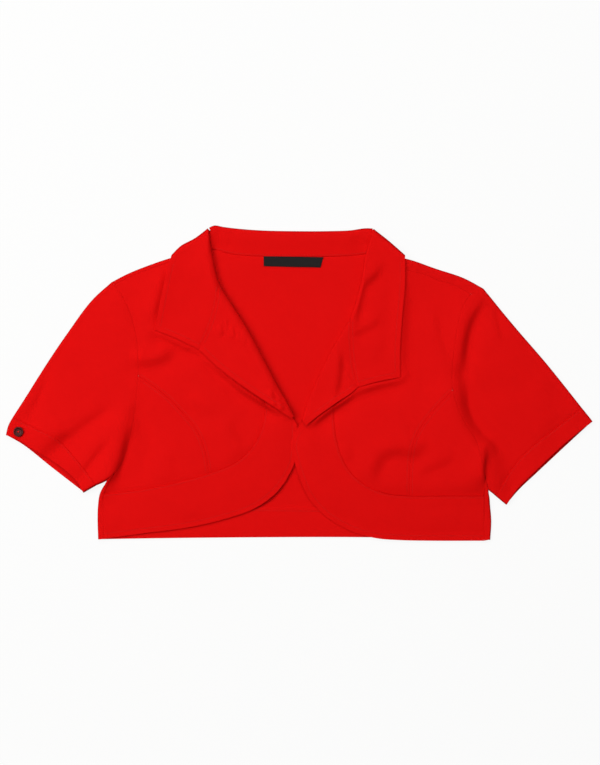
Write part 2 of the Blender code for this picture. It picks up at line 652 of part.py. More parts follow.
def collar_fall():
    top_right, lip_right, wrap_right = collar_front(RIGHT)
    top_left, lip_left, wrap_left = collar_front(LEFT)
    left = wrap_right[-1, :, :2]
    right = wrap_left[-1, :, :2]
    along = 12
    roll = edge_shift(even(BACK_ROLL, along), FACED_WALL / 2 + STAND_TOP / 2 - FALL_LEVEL / 2 + ROLL_ROOM, -1)
    roll[0], roll[-1] = left[0], right[0]
    edge = even(FALL_EDGE, along)
    edge[0], edge[-1] = left[-1], right[-1]
    plan = patch(edge, right[::-1], roll, left[::-1])
    back = raised(plan, FALL_LEVEL)
    grids = [top_right, lip_right, wrap_right, back, top_left, lip_left, wrap_left]
    add_cloth("collar_fall", grids, FACED_WALL)


def collar_stand():
    radius = (STAND_TOP - FALL_LEVEL) / 2
    foot = neck_points()
    crest = even(BACK_ROLL, ROWS["neck"], first=STAND_END, last=lengths(dense(BACK_ROLL))[-1] - STAND_END)
    foot[0] += (foot[1] - foot[0]) * STAND_DRAWN
    foot[-1] += (foot[-2] - foot[-1]) * STAND_DRAWN
    base = edge_shift(crest, radius + FACED_WALL / 2, -1)
    foot = edge_shift(foot, SEAM_GAP / 2, 1)
    share = np.linspace(0.0, 1.0, 5)[:, None, None]
    plan = foot[None] * (1 - share) + base[None] * share
    height = STAND_FOOT + (STAND_TOP - STAND_FOOT) * smooth(share[..., 0]) * np.ones(len(foot))
    turned = fold(base, crest, np.full(len(base), STAND_TOP), np.full(len(base), FALL_LEVEL), FACED_WALL)
    add_cloth("collar_stand", [raised(plan, height), turned], FACED_WALL)


def neck_points():
    return even(NECK_SEAM, ROWS["neck"])


def back_plan():
    edges = {}
    for half in (RIGHT, LEFT):
        line = dense(half["armhole"])
        _, outer = armhole_distances(half)
        armhole = edge_shift(at(line, outer), armhole_gap(len(outer)), half["sign"] * -1)
        crest, seam = side_points(half)
        shoulder, shoulder_seam = shoulder_points(half)
        rise = front_height(crest[:, 0], crest[:, 1], half["sign"]) - BACK_LEVEL
        side = edge_shift(crest, rise / 2 + CLOTH_WALL / 2, half["sign"])
        side[0][1] = crest[0][1]
        side[-1] = armhole[-1]
        top = edge_shift(shoulder, fold_reach(CLOTH_WALL), half["sign"])
        top[0] = armhole[0]
        edges[half["sign"]] = (join(side, armhole[::-1]), top, crest, seam, shoulder, shoulder_seam)
    return edges


def back_panel():
    edges = back_plan()
    left, top_left, *_ = edges[-1]
    right, top_right, *_ = edges[1]
    neck = edge_shift(neck_points(), SEAM_GAP / 2, -1)
    neck[0], neck[-1] = top_left[-1], top_right[-1]
    top = join(top_left, neck, top_right[::-1])
    bottom = even(BACK_HEM_EDGE, len(top) - 1)
    bottom[0], bottom[-1] = left[0], right[0]
    plan = patch(bottom, right, top, left)
    height = back_height(plan[..., 0], plan[..., 1])
    grids = [raised(plan, height)]
    count = ROWS["band_side"] + ROWS["side"] + 1
    wide = ROWS["shoulder"] + 1
    for half, column in ((RIGHT, 0), (LEFT, -1)):
        _, _, crest, seam, shoulder, shoulder_seam = edges[half["sign"]]
        base = plan[:count, column]
        grids.extend(side_wrap(base, crest, seam, half))
        row = plan[-1, :wide] if column == 0 else plan[-1, ::-1][:wide]
        grids.extend(shoulder_wrap(row, shoulder, shoulder_seam, half))
    add_cloth("back_panel", grids, CLOTH_WALL)
    hem = raised(plan[:HEM_TURN_ROWS + 1], BACK_LEVEL + CLOTH_WALL + LAYER_GAP)
    hem[:, 0, 0] += LAYER_GAP
    hem[:, -1, 0] -= LAYER_GAP
    add_cloth("back_hem", [hem], CLOTH_WALL, DARK_RED)


def side_wrap(base, crest, seam, half):
    # The back turned round the side fold and on to the side seam.
    z_low = back_height(base[:, 0], base[:, 1])
    z_top = front_height(base[:, 0], base[:, 1], half["sign"])
    crest = crest.copy()
    crest[-1] += (base[-1] - crest[-1]) * BACK_DRAWN[1]
    turned = fold(base, crest, z_low, z_top, CLOTH_WALL)
    end = edge_shift(seam, SEAM_GAP / 2, half["sign"] * -1)
    end[-1] = seam[-1] + (base[-1] - seam[-1]) * 0.3
    rest = raised(end, front_height(end[:, 0], end[:, 1], half["sign"]))
    return [turned, np.stack([turned[-1], rest])]


def shoulder_wrap(base, crest, seam, half):
    # The back turned over the shoulder fold and on to the shoulder seam.
    z_low = back_height(base[:, 0], base[:, 1])
    z_top = front_height(base[:, 0], base[:, 1], half["sign"])
    crest = crest.copy()
    crest[0] += (base[0] - crest[0]) * BACK_DRAWN[0]
    turned = fold(base, crest, z_low, z_top, CLOTH_WALL)
    end = edge_shift(seam, SEAM_GAP / 2, half["sign"] * -1)
    inside = lip_radius(roll_start(half), half) + FACED_WALL / 2 + ROLL_ROOM
    along = seam[-2] - seam[-1]
    end[-1] += along / np.linalg.norm(along) * inside
    rest = raised(end, front_height(end[:, 0], end[:, 1], half["sign"]))
    return [turned, np.stack([turned[-1], rest])]


def flat_tube(name, plans, crests, half, wall):
    # plans: top and under grids, rows along the tube, columns from the outer fold to the underarm fold.
    # crests: outermost lines of the two folds.
    top, under = plans
    outer, inner = crests
    z_top = front_height(top[..., 0], top[..., 1], half["sign"])
    z_low = np.full(under.shape[:2], wall / 2)
    right = fold_between(top[:, -1], under[:, -1], inner, z_top[:, -1], z_low[:, -1], wall)
    left = fold_between(under[:, 0], top[:, 0], outer, z_low[:, 0], z_top[:, 0], wall)
    ring = np.concatenate([
        raised(top, z_top),
        right[1:-1].transpose(1, 0, 2),
        raised(under, z_low)[:, ::-1],
        left[1:-1].transpose(1, 0, 2),
    ], axis=1)
    add_cloth(name, [ring], wall, closed=True)


def fold_between(start, stop, crest, z_from, z_to, wall):
    turned = fold(start, crest, z_from, z_to, wall)
    share = np.linspace(0.0, 1.0, len(turned))[:, None, None]
    turned[..., :2] += share * (stop - start)[None]
    return turned


def sleeve(half, name):
    line = dense(half["armhole"])
    _, outer_distance = armhole_distances(half)
    armhole = at(line, outer_distance)
    rows = ROWS["sleeve"]
    seam = even(half["cuff_seam"], len(armhole) - 1)
    outer = even(half["sleeve_outer"], rows)
    inner = even(half["sleeve_under"], rows)
    full = patch(at(line, np.linspace(0, lengths(line)[-1], len(armhole))), inner, seam, outer)
    plan = pull_in(full, top=SEAM_GAP / 2, left=fold_reach(CLOTH_WALL), right=fold_reach(CLOTH_WALL))
    start = edge_shift(armhole, armhole_gap(len(armhole)), half["sign"])
    plan[0] = start
    ends = pull_in(full, top=SEAM_GAP / 2)
    crests = [ends[:, 0], ends[:, -1]]
    for crest, corner, drawn in zip(crests, (start[0], start[-1]), SLEEVE_DRAWN):
        crest[0] += (corner - crest[0]) * drawn
    flat_tube(name, (plan, plan), crests, half, CLOTH_WALL)


def fold_reach(wall):
    # From a fold's outermost line in to where the flat layers start.
    return (FRONT_LEVEL - BACK_LEVEL) / 2 + wall / 2


def cuff(half, name):
    rows = ROWS["cuff"]
    across = ROWS["armhole_low"] + ROWS["armhole_high"] + 1
    seam = even(half["cuff_seam"], across)
    outer = even(half["cuff_outer"], rows)
    inner = even(half["cuff_under"], rows)
    reach = fold_reach(FACED_WALL)
    layers = [patch(seam, inner, even(half[mouth], across), outer) for mouth in ("mouth_top", "mouth_under")]
    plans = [pull_in(layer, bottom=SEAM_GAP / 2, left=reach, right=reach) for layer in layers]
    ends = pull_in(layers[1], bottom=SEAM_GAP / 2)
    flat_tube(name, plans, (ends[:, 0], ends[:, -1]), half, FACED_WALL)


def neck_label():
    x_from, x_to, y_from, y_to = LABEL_BOX
    x, y = np.meshgrid(np.linspace(x_from, x_to, 7), np.linspace(y_from, y_to, 3))
    rise = CLOTH_WALL / 2 + LAYER_GAP + LABEL_WALL / 2
    grid = np.stack([x, y, back_height(x, y) + rise], axis=-1)
    add_cloth("neck_label", [grid], LABEL_WALL, LABEL_BLACK)


def cuff_button():
    # Turned disc with a raised rim and a dished middle: radius, height of each point of the profile.
    x, y = BUTTON_AT
    foot = float(front_height(np.array(x), np.array(y), -1)) + FACED_WALL / 2 + LAYER_GAP
    r, h = BUTTON_RADIUS, BUTTON_DEPTH
    profile = [
        (0.0, 0.0), (r * 0.72, 0.0), (r * 0.95, h * 0.3), (r, h * 0.6), (r * 0.95, h * 0.88), (r * 0.84, h),
        (r * 0.72, h * 0.9), (r * 0.62, h * 0.68), (0.0, h * 0.62),
    ]
    turns = 24
    radius, height = np.array(profile).T
    angle = np.linspace(0.0, 2 * math.pi, turns, endpoint=False)[None]
    ring = np.stack([
        x + radius[:, None] * np.cos(angle),
        y + radius[:, None] * np.sin(angle),
        foot + height[:, None] + 0.0 * angle,
    ], axis=-1)
    verts = ring.reshape(-1, 3)
    faces = grid_faces(len(profile), turns, 0, True)
    add_object("cuff_button", verts, faces, BUTTON_BROWN, BUTTON_ROUGHNESS)


for old in list(bpy.data.objects):
    bpy.data.objects.remove(old, do_unlink=True)

jacket = bpy.data.objects.new("jacket", None)
bpy.context.scene.collection.objects.link(jacket)

back_panel()
for side_name, half_table in (("right", RIGHT), ("left", LEFT)):
    front_centre(half_table, "front_centre_" + side_name)
    front_side(half_table, "front_side_" + side_name)
    hem_band(half_table, "hem_band_" + side_name)
    lapel(half_table, "lapel_" + side_name)
    sleeve(half_table, "sleeve_" + side_name)
    cuff(half_table, "cuff_" + side_name)
collar_fall()
collar_stand()
neck_label()
cuff_button()
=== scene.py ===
import math
from functools import partial

import bmesh
import bpy
import numpy as np
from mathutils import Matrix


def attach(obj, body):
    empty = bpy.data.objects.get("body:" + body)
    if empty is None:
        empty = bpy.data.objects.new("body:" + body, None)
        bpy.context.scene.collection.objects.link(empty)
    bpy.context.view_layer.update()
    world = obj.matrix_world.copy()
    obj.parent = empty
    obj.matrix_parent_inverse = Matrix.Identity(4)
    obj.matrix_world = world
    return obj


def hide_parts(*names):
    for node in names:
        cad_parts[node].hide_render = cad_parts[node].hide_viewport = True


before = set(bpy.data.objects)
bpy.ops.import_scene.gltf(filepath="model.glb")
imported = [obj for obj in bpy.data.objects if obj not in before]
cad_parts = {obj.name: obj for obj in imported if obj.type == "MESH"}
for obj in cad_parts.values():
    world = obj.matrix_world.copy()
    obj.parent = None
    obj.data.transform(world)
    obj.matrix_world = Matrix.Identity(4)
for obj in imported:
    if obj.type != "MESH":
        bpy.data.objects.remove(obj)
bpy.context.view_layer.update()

# Short-sleeved red bolero jacket, laid out flat on its back with the fronts up.
# Plan lengths are millimetres until a mesh is made: +X the wearer's left, +Y the collar, +Z up.

mm = 0.001
middle = np.array([0.475, -0.476, 0.0])      # middle of the laid-out jacket in the tables' own places

clothWall = 0.8              # one layer of cloth
facedWall = 1.2              # two layers sewn together: collar, lapels, bands, cuffs
seamGap = 0.08               # air between neighbours

layers = {
    "back": 0.5,             # middle of the back's wall above the table
    "front": 5.0,            # middle of the fronts' wall
    "hemDrop": 1.0,
    "turned": 2.1,           # lapels and collar above what they lie on
    "rollReach": 16.0,       # width of the bells by which a roll rises and an edge rises or falls
    "edgeReach": 11.0,
    "fallReach": 13.0,
    "bandRise": 0.2,         # hem bands over the fronts, by the thicker cloth
    "rollRoom": 1.0,
    "neckLift": 1.9,
    "underRise": 0.15,       # under layer of sleeves and cuffs over the back
    "lowest": 2.1,           # the top layer never sinks below this
    "creases": 1.5,          # strength of the creases below: fronts and sleeves, then lapels and collar
    "turnedCreases": 1.6,
    "creaseRise": 0.3,       # they rise more than they sink
    "step": 2.2,             # size of a face
    "fineStep": 1.5,         # and on lapels and collar
}

# Outlines, one row for each point: x, y.
rightHalf = {
    "sign": -1,
    "name": "Right",
    "overlapRise": -1.3,     # its front edge lies under the left one
    "roll": [
        (-99, 171), (-97.5, 160.5), (-96, 147), (-94, 136.5), (-87.5, 110),
        (-73.5, 87), (-54.5, 57), (-40, 30), (-21, -6), (-9, -27.5), (-2, -40),
    ],
    "rollShape": {"soft": 3.2, "full": 1.0, "nose": 0.15, "ease": 1.15},
    "gorgeKnot": 4,
    "armhole": [
        (-206.5, 111), (-197, 100.5), (-185.5, 76.5), (-179.5, 54), (-177, 26.5),
        (-177, 8), (-181, -34), (-189.5, -72.5), (-197.5, -93), (-211, -107),
    ],
    "armholeKnot": 5,
    "shoulder": [
        (-206.5, 111), (-188, 120.5), (-161.5, 131), (-140, 138), (-119.5, 143.5),
        (-100, 148.5),
    ],
    "shoulderIn": (4.2, 4.2, 4.2),
    "side": [(-221, -172), (-221.5, -153), (-221, -135), (-219, -122), (-211, -107)],
    "sideSeam": [(-215, -171.5), (-215, -122.5)],
    "underarmIn": 12.0,
    "princess": [
        (-177, 8), (-158.5, -4.5), (-144, -16), (-126.5, -34.5), (-114.5, -48.5),
        (-104.5, -70.5), (-98.5, -99.5),
    ],
    "bandSeam": [
        (-215, -122.5), (-174.5, -117.5), (-136, -110), (-98.5, -99.5), (-70, -88),
        (-55, -75.5), (-45.5, -61.5), (-39, -43), (-37, -22), (-38, 2), (-40, 30),
    ],
    "bandKnot": 3,
    "freeEdge": [
        (-215, -171.5), (-171, -165.5), (-119, -158.5), (-82.5, -150), (-48.5, -138),
        (-24, -120), (-9.5, -99), (-3.5, -84), (-1.5, -62), (-2, -40),
    ],
    "gorge": [(-87.5, 110), (-90.5, 88), (-97, 64.5), (-109.5, 37)],
    "lapelEdge": [
        (-109.5, 37), (-87.5, 16.5), (-66.5, 0.5), (-45.5, -14), (-24.5, -27.5), (-7.5, -39),
    ],
    "lapelStop": 6.0,
    "edgeLift": (2.6, 2),  # how far the outer edge stands off: lapel, collar
    "edgeFall": 0.4,         # how much lower the free edge lies than the rest
    "bandSink": (0.3, 4.0, -240.0),      # the front sinks towards the band's seam: depth, width, from x
    "collarFront": [(-109.5, 37), (-133, 48.5), (-158, 58.5)],
    "collarEdge": [(-158, 58.5), (-150.5, 98), (-143.5, 128), (-139, 141.5)],
    "collarFold": [(-99, 171), (-114, 159.6), (-129.5, 151), (-139, 141.5)],
    "sleeveOuter": [
        (-206.5, 111), (-227.5, 91.5), (-254, 56), (-280, 17.5), (-302, -17.5), (-315, -37.5),
    ],
    "cuffOuter": [(-315, -37.5), (-320, -47), (-322.5, -57)],
    "sleeveUnder": [(-211, -107), (-217, -110), (-222.5, -112.5)],
    "cuffUnder": [(-222.5, -112.5), (-229.5, -116.5), (-236.5, -120.5)],
    "cuffSeam": [(-315, -37.5), (-294, -47.5), (-268, -60.5), (-243, -86), (-222.5, -112.5)],
    "mouthTop": [
        (-322.5, -57), (-311, -61.5), (-288.5, -75.2), (-263, -91.2), (-246, -106),
        (-236.5, -120.5),
    ],
    "mouthUnder": [(-322.5, -57), (-305, -67), (-273.6, -91.7), (-236.5, -120.5)],
    # Creases: points, half width, drop.
    "creases": [
        ([(-200, -20), (-227, -37), (-246, -51), (-260, -63), (-280, -78)], 6.5, 1.0),
        ([(-250, -48), (-261, -58), (-271, -68), (-290, -88)], 9, 1.7),
        ([(-208, -60), (-222, -76), (-230, -86), (-242, -104)], 4.5, 0.8),
        ([
            (-178, -14), (-182, -44), (-189, -64), (-195, -88), (-203, -104), (-218, -120), (-240, -142),
        ], 12, 2.9),
        ([(-186, -46), (-190, -63), (-195, -84), (-202, -100), (-214, -112), (-230, -126)], 4, 1.0),
        ([(-176, -34), (-174, -58), (-175, -88)], 5, 0.7),
        ([(-278, 9), (-287, -13), (-299, -37)], 3.5, 0.4),
        ([(-200, 104), (-190, 80), (-181, 48)], 8, 0.6),
        ([(-240, 40), (-256, 20), (-266, -6)], 13, 0.35),
        ([(-222, 10), (-238, -12), (-262, -28)], 12, 0.35),
        ([(-190, 31), (-172, 22), (-150, 26), (-132, 42)], 7, 1.9),
        ([(-152, 104), (-158, 60), (-163, 30)], 9, 0.5),
        ([(-126, -20), (-110, -29), (-94, -38)], 7, 0.6),
        ([(-78, -34), (-70, -58), (-56, -78)], 7, 0.9),
        ([(-141, -70), (-140, -90), (-138, -108)], 6, 0.45),
        ([(-116, 38), (-91, 16), (-69, -1), (-48, -16), (-26, -29), (-6, -43)], 5, 3.2),
        ([(-80, 2), (-58, -13), (-42, -23), (-18, -38)], 7, 2.0),
        ([(-162, 56), (-156, 80), (-150, 106), (-144, 130)], 5, 1.3),
        ([(-170, 60), (-134, 44), (-100, 29)], 5.5, 2.6),
        ([(-200, -132), (-196, -150), (-197, -166)], 8, 0.25),
        ([(-130, -122), (-118, -134), (-112, -150)], 9, 0.25),
        ([(-66, -104), (-52, -114), (-38, -114)], 9, 0.25),
    ],
    "turnedCreases": [
        ([(-87, 66), (-84, 59), (-83, 50)], 2.4, 0.6),
        ([(-80, 70), (-78, 63), (-77, 54)], 2.2, 0.45),
        ([(-73, 64), (-71, 57), (-70, 48)], 2.4, 0.8),
        ([(-67, 60), (-65, 53), (-64, 44)], 2.2, 0.42),
        ([(-61, 55), (-59, 48), (-58, 40)], 2.2, 0.35),
        ([(-31, -5), (-27, -17), (-24, -27)], 2.8, 0.8),
        ([(-24, -15), (-19, -22), (-14, -29)], 2.8, 0.8),
        ([(-122, 106), (-124, 90), (-122, 74)], 10, 0.3),
        ([(-94, 44), (-80, 34), (-66, 16)], 9, 0.3),
        ([(-112, 140), (-106, 126), (-104, 108)], 8, 0.3),
    ],
}
leftHalf = {
    "sign": 1,
    "name": "Left",
    "overlapRise": 1.3,
    "roll": [
        (81.5, 170.3), (78.5, 158), (74.5, 144), (67.5, 106), (57, 72), (43.5, 48.5),
        (33, 30), (17, -4), (9.5, -22.5), (2.5, -46),
    ],
    "rollShape": {"soft": 0.8, "full": 0.3, "nose": 0.85, "ease": 1.0},
    "gorgeKnot": 4,
    "armhole": [
        (203.5, 104), (190.5, 98.5), (181.5, 86), (173, 53), (169, 15.5), (169.5, -7.5),
        (181, -40), (193.5, -60.5), (200.5, -81.5), (204.5, -100), (208.5, -117.5),
    ],
    "armholeKnot": 5,
    "shoulder": [
        (203.5, 104), (182, 115.5), (151, 126), (123.5, 135.5), (100.5, 140.5), (79.5, 144),
    ],
    "shoulderIn": (13.0, 10.5, 16.0),
    "side": [(211, -172.5), (212, -151.5), (210.5, -134), (209.8, -125), (208.5, -117.5)],
    "sideSeam": [(204, -173.5), (204, -124.5)],
    "underarmIn": 17.0,
    "princess": [
        (169.5, -7.5), (151, -27), (134, -49), (125.5, -68), (122.5, -95), (122, -124.5),
    ],
    "bandSeam": [
        (204, -124.5), (160, -124.5), (122, -124.5), (95, -121.5), (72, -111.5),
        (56.5, -98), (47, -81.5), (41, -61.5), (38, -35), (36.5, 0), (33, 30),
    ],
    "bandKnot": 2,
    "freeEdge": [
        (204, -173.5), (144.5, -173.5), (110.5, -172.8), (87, -171), (66, -166),
        (45.5, -157), (25.5, -143), (10, -124.5), (1, -104.5), (-5, -84.5), (-8, -68),
        (-5, -56), (2.5, -46),
    ],
    "gorge": [(57, 72), (57.5, 45), (60, 18), (65, -4.5)],
    "lapelEdge": [
        (65, -4.5), (55.5, -12.5), (44.5, -19.3), (34, -26.7), (20.5, -36.5), (8, -46.5),
    ],
    "lapelStop": 6.0,
    "edgeLift": (2.2, 1.6),
    "edgeFall": 2.0,
    "bandSink": (1.7, 9.0, 80.0),
    "collarFront": [(65, -4.5), (81.5, 0.5), (111.5, 6.5)],
    "collarEdge": [(111.5, 6.5), (111.3, 35), (113.5, 70), (116.8, 110), (116.6, 141)],
    "collarFold": [(81.5, 170.3), (98.5, 157), (116.6, 141)],
    "sleeveOuter": [
        (203.5, 104), (234.5, 66), (274, 20), (300.5, -13), (311.5, -27),
    ],
    "cuffOuter": [(311.5, -27), (318, -35), (323.5, -42)],
    "sleeveUnder": [(208.5, -117.5), (213, -121), (217, -124.5)],
    "cuffUnder": [(217, -124.5), (223, -129.5), (228.5, -134)],
    "cuffSeam": [(311.5, -27), (287.5, -46), (260, -67.5), (238, -90), (217, -124.5)],
    "mouthTop": [(323.5, -42), (297, -63), (261, -96.5), (240, -117.5), (228.5, -134)],
    "mouthUnder": [(323.5, -42), (299.5, -64), (261, -100), (242.5, -117.5), (228.5, -134)],
    "creases": [
        ([(82, -118), (86, -94), (93, -81), (111, -76), (126, -78), (135, -72), (146, -58)], 8.5, 1.7),
        ([(128, -103), (146, -93), (158, -88), (174, -78)], 6.5, 0.9),
        ([(56, -64), (57, -76), (54, -90)], 6, 0.4),
        ([(100, 4), (114, -8), (134, -14)], 11, 0.3),
        ([(22, -96), (32, -116), (50, -130)], 9, 0.25),
        ([(172, -130), (176, -146), (172, -162)], 8, 0.25),
        ([(208, 100), (201, 89), (190, 68), (183, 41), (181, 6)], 6.5, 2.4),
        ([
            (180, 26), (180, -2), (184, -34), (191, -47), (202, -59), (210, -66), (223, -90), (236, -124),
        ], 13, 3.4),
        ([(194, -46), (204, -59), (212, -67), (220, -82)], 5, 0.9),
        ([(213, 88), (219, 62), (223, 40)], 4.5, 0.6),
        ([(209, -58), (204, -85), (203, -100), (206, -120)], 6, 1.35),
        ([(206, -76), (204, -92), (205, -112)], 2.6, 0.8),
        ([(232, 44), (246, 22), (252, -4)], 13, 0.35),
        ([(264, 6), (276, -16), (278, -32)], 10, 0.35),
        ([(286, -28), (278, -46), (262, -60)], 8, 0.35),
        ([(147, 90), (157, 41), (170, 6)], 5, 0.5),
        ([(70, -5), (56, -16), (35, -30), (6, -52)], 6, 3.2),
        ([(56, -14), (84, -4), (126, 6)], 6.5, 2.4),
        ([(112, -2), (114, 35), (116, 70), (120, 120)], 9, 1.8),
    ],
    "turnedCreases": [
        ([(95, 138), (84, 118), (73, 108), (67, 87), (60, 54)], 5.5, 1.3),
        ([(54, 50), (70, 58), (82, 64), (92, 76)], 5, 0.8),
        ([(45, 38), (46, 16), (44, 0), (39, -20)], 4.5, 1.1),
        ([(98, 112), (92, 90), (84, 72)], 9, 0.3),
        ([(97, 92), (94, 66), (90, 36), (84, 14)], 9, 0.4),
        ([(52, 15), (56, 6), (60, -3)], 3, 0.3),
    ],
}

# Large soft folds of the fronts and sleeves: x1, y1, x2, y2, half width, depth.
bigFolds = [
    (-212, -31, -276, -70, 13, 1.7),
    (-211, -65, -241, -104, 9, 1.5),
    (-280, 8, -297, -40, 9, 1.2),
    (-181, -34, -196, -92, 9, 2.0),
    (-175, -20, -175, -95, 12, 0.9),
    (190, 85, 182, 10, 9, 1.5),
    (182, 10, 199, -62, 9, 1.8),
    (199, -62, 232, -112, 9, 1.7),
    (216, 76, 219, 62, 8, 0.8),
    (90, -80, 140, -88, 14, 0.8),
]

# Creases of the sleeves' and cuffs' under layer, on the left side: points, half width, drop.
underCreases = [
    ([(225, 40), (250, 5), (268, -30)], 11, -0.5),
    ([(212, -30), (232, -55), (240, -90)], 9, -0.4),
]

# How full the roll of collar and lapels is: share of the roll line, height.
rollFullness = [(0, 0.5), (0.08, 1.8), (0.2, 3.2), (0.5, 4.2), (0.8, 4), (1, 0.4)]

neckCut = {
    "backRoll": [
        (-99, 171), (-93.5, 173.5), (-82.4, 171.9), (-68.5, 170.2), (-42.6, 168.2), (-3, 167.3),
        (34.4, 167.4), (56.4, 168.2), (74, 170.5), (81.5, 170.3),
    ],
    "seam": [
        (-100, 148.5), (-91.6, 147), (-79, 143.2), (-65, 141), (-42.5, 139.8), (-5, 139.3),
        (29, 139.4), (56, 140.3), (71, 142), (79.5, 144),
    ],
    "fallEdge": [
        (-139, 141.5), (-95, 126), (-45, 122), (25, 122), (75, 126), (116.6, 141),
    ],
    "furrow": 0.3,           # of the back along the neck seam: depth and width
    "furrowWidth": 1.2,
    "middle": -11.0,
    # the neck's rise: distance to its middle, y; it starts this far before and takes this run
    "reach": [(0, 122), (60, 122), (110, 124), (128, 128), (142, 138), (165, 200)],
    "before": 32.0,
    "run": 52.0,
    "standFoot": 2.65,
    "standTop": 5.6,
    "fallLevel": 0.65,
    "puckers": [
        ([(-94, 174), (-92, 158), (-91, 142)], 6, 1.0),
        ([(-80, 146), (-78, 156), (-80, 166)], 3, 0.3),
        ([(56, 167), (67, 161), (79, 151)], 3.5, 0.9),
        ([(66, 146), (60, 154), (62, 163)], 4, 0.3),
    ],
}
backCut = {
    "hem": [
        (-221, -172), (-161.5, -171), (-60, -170), (60, -169.7), (150, -171),
        (211, -172.5),
    ],
    "turnUp": 31.0,          # width of the hem that is turned up
    "turnUpRise": 1.15,
    "holeFrom": 2.2,         # left out of the armhole's line at both ends, and of the side's at its top
    "holeTo": 4.5,
    "sideTo": 6.0,
    "flatBelow": -150.0,     # no creases further down than this y
    "softRoot": 0.01,
    "hemCreases": [
        ([(-69, -134), (-40, -141), (-10, -138)], 7, -0.25),
        ([(70, -150), (30, -147), (0, -152)], 8, -0.2),
    ],
    "creases": [
        ([(-40, 91), (-45, 47), (-34, 12)], 11, -0.5),
        ([(26, 102), (20, 67), (21, 36)], 11, -0.5),
        ([(-15, 113), (-10, 91), (-14, 69)], 9, -0.4),
        ([(-153, 3), (-136, -52), (-142, -107)], 13, -0.6),
        ([(133, 25), (147, -30), (140, -96)], 13, -0.6),
        ([(-186, 91), (-153, 58), (-109, 36)], 12, -0.5),
        ([(188, 80), (155, 42), (111, 14)], 12, -0.5),
        ([(-54, -41), (1, -63), (56, -46)], 14, -0.5),
        ([(-197, -63), (-175, -96), (-180, -135)], 9, -0.5),
        ([(188, -74), (172, -107), (180, -138)], 9, -0.5),
    ],
}


# Lines in plan

def smoothStep(t):
    # 0 below 0, 1 above 1, and three t squared minus two t cubed between
    t = np.clip(t, 0.0, 1.0)
    return t * t * (3.0 - 2.0 * t)


def curve(points, steps=24):
    # smooth line through the points: cubic pieces whose slopes come from the neighbours
    p = np.asarray(points, float)
    t = np.concatenate([[0.0], np.cumsum(np.linalg.norm(np.diff(p, axis=0), axis=1) ** 0.75)])
    slope = np.gradient(p, t, axis=0)
    s = np.linspace(0.0, 1.0, steps, endpoint=False)[None, :, None]
    h = np.diff(t)[:, None, None]
    a, b, ma, mb = p[:-1, None], p[1:, None], slope[:-1, None], slope[1:, None]
    pieces = (2 * s**3 - 3 * s**2 + 1) * a + (s**3 - 2 * s**2 + s) * h * ma
    pieces = pieces + (3 * s**2 - 2 * s**3) * b + (s**3 - s**2) * h * mb
    return np.vstack([pieces.reshape(-1, 2), p[-1:]])


def linesOf(half, *names):
    return [curve(half[name]) for name in names]


def lengths(line):
    return np.concatenate([[0.0], np.cumsum(np.linalg.norm(np.diff(line, axis=0), axis=1))])


def along(line, distance):
    s = lengths(line)
    return np.stack([np.interp(distance, s, line[:, 0]), np.interp(distance, s, line[:, 1])], axis=-1)


def cutLine(line, first, last, count=200):
    return along(line, np.linspace(first, last, count))


def knotAt(points, index, steps=24):
    return lengths(curve(points, steps))[index * steps]


def joined(*lines):
    return np.vstack([lines[0]] + [line[1:] for line in lines[1:]])


def shares(count, crowd=0.6):
    # even shares from 0 to 1, drawn towards both ends by a sine
    t = np.linspace(0.0, 1.0, count + 1)
    return t - crowd * np.sin(2 * math.pi * t) / (2 * math.pi)


def sampled(line, count, crowd=0.6):
    return along(line, lengths(line)[-1] * shares(count, crowd))


def edgeNormals(line, side):
    tangent = np.gradient(line, axis=0)
    tangent = tangent / np.maximum(np.linalg.norm(tangent, axis=1), 1e-9)[:, None]
    return side * np.stack([-tangent[:, 1], tangent[:, 0]], axis=1)


def shifted(line, distance, side):
    return line + edgeNormals(line, side) * np.broadcast_to(distance, len(line))[:, None]


def longer(line, extra=20.0):
    first, last = line[0] - line[1], line[-1] - line[-2]
    first, last = first / np.linalg.norm(first), last / np.linalg.norm(last)
    return np.vstack([line[0] + first * extra, line, line[-1] + last * extra])


def crossing(a, b):
    # distances along two lines to where they first cross
    p, r = a[:-1, None], (a[1:] - a[:-1])[:, None]
    q, s = b[None, :-1], (b[1:] - b[:-1])[None]
    cross = r[..., 0] * s[..., 1] - r[..., 1] * s[..., 0]
    cross = np.where(np.abs(cross) < 1e-9, 1e-9, cross)
    gap = q - p
    t = (gap[..., 0] * s[..., 1] - gap[..., 1] * s[..., 0]) / cross
    u = (gap[..., 0] * r[..., 1] - gap[..., 1] * r[..., 0]) / cross
    hit = (t >= 0) & (t <= 1) & (u >= 0) & (u <= 1)
    i, j = np.argwhere(hit)[0]
    return lengths(a)[i] + t[i, j] * np.linalg.norm(r[i]), lengths(b)[j] + u[i, j] * np.linalg.norm(s[0, j])


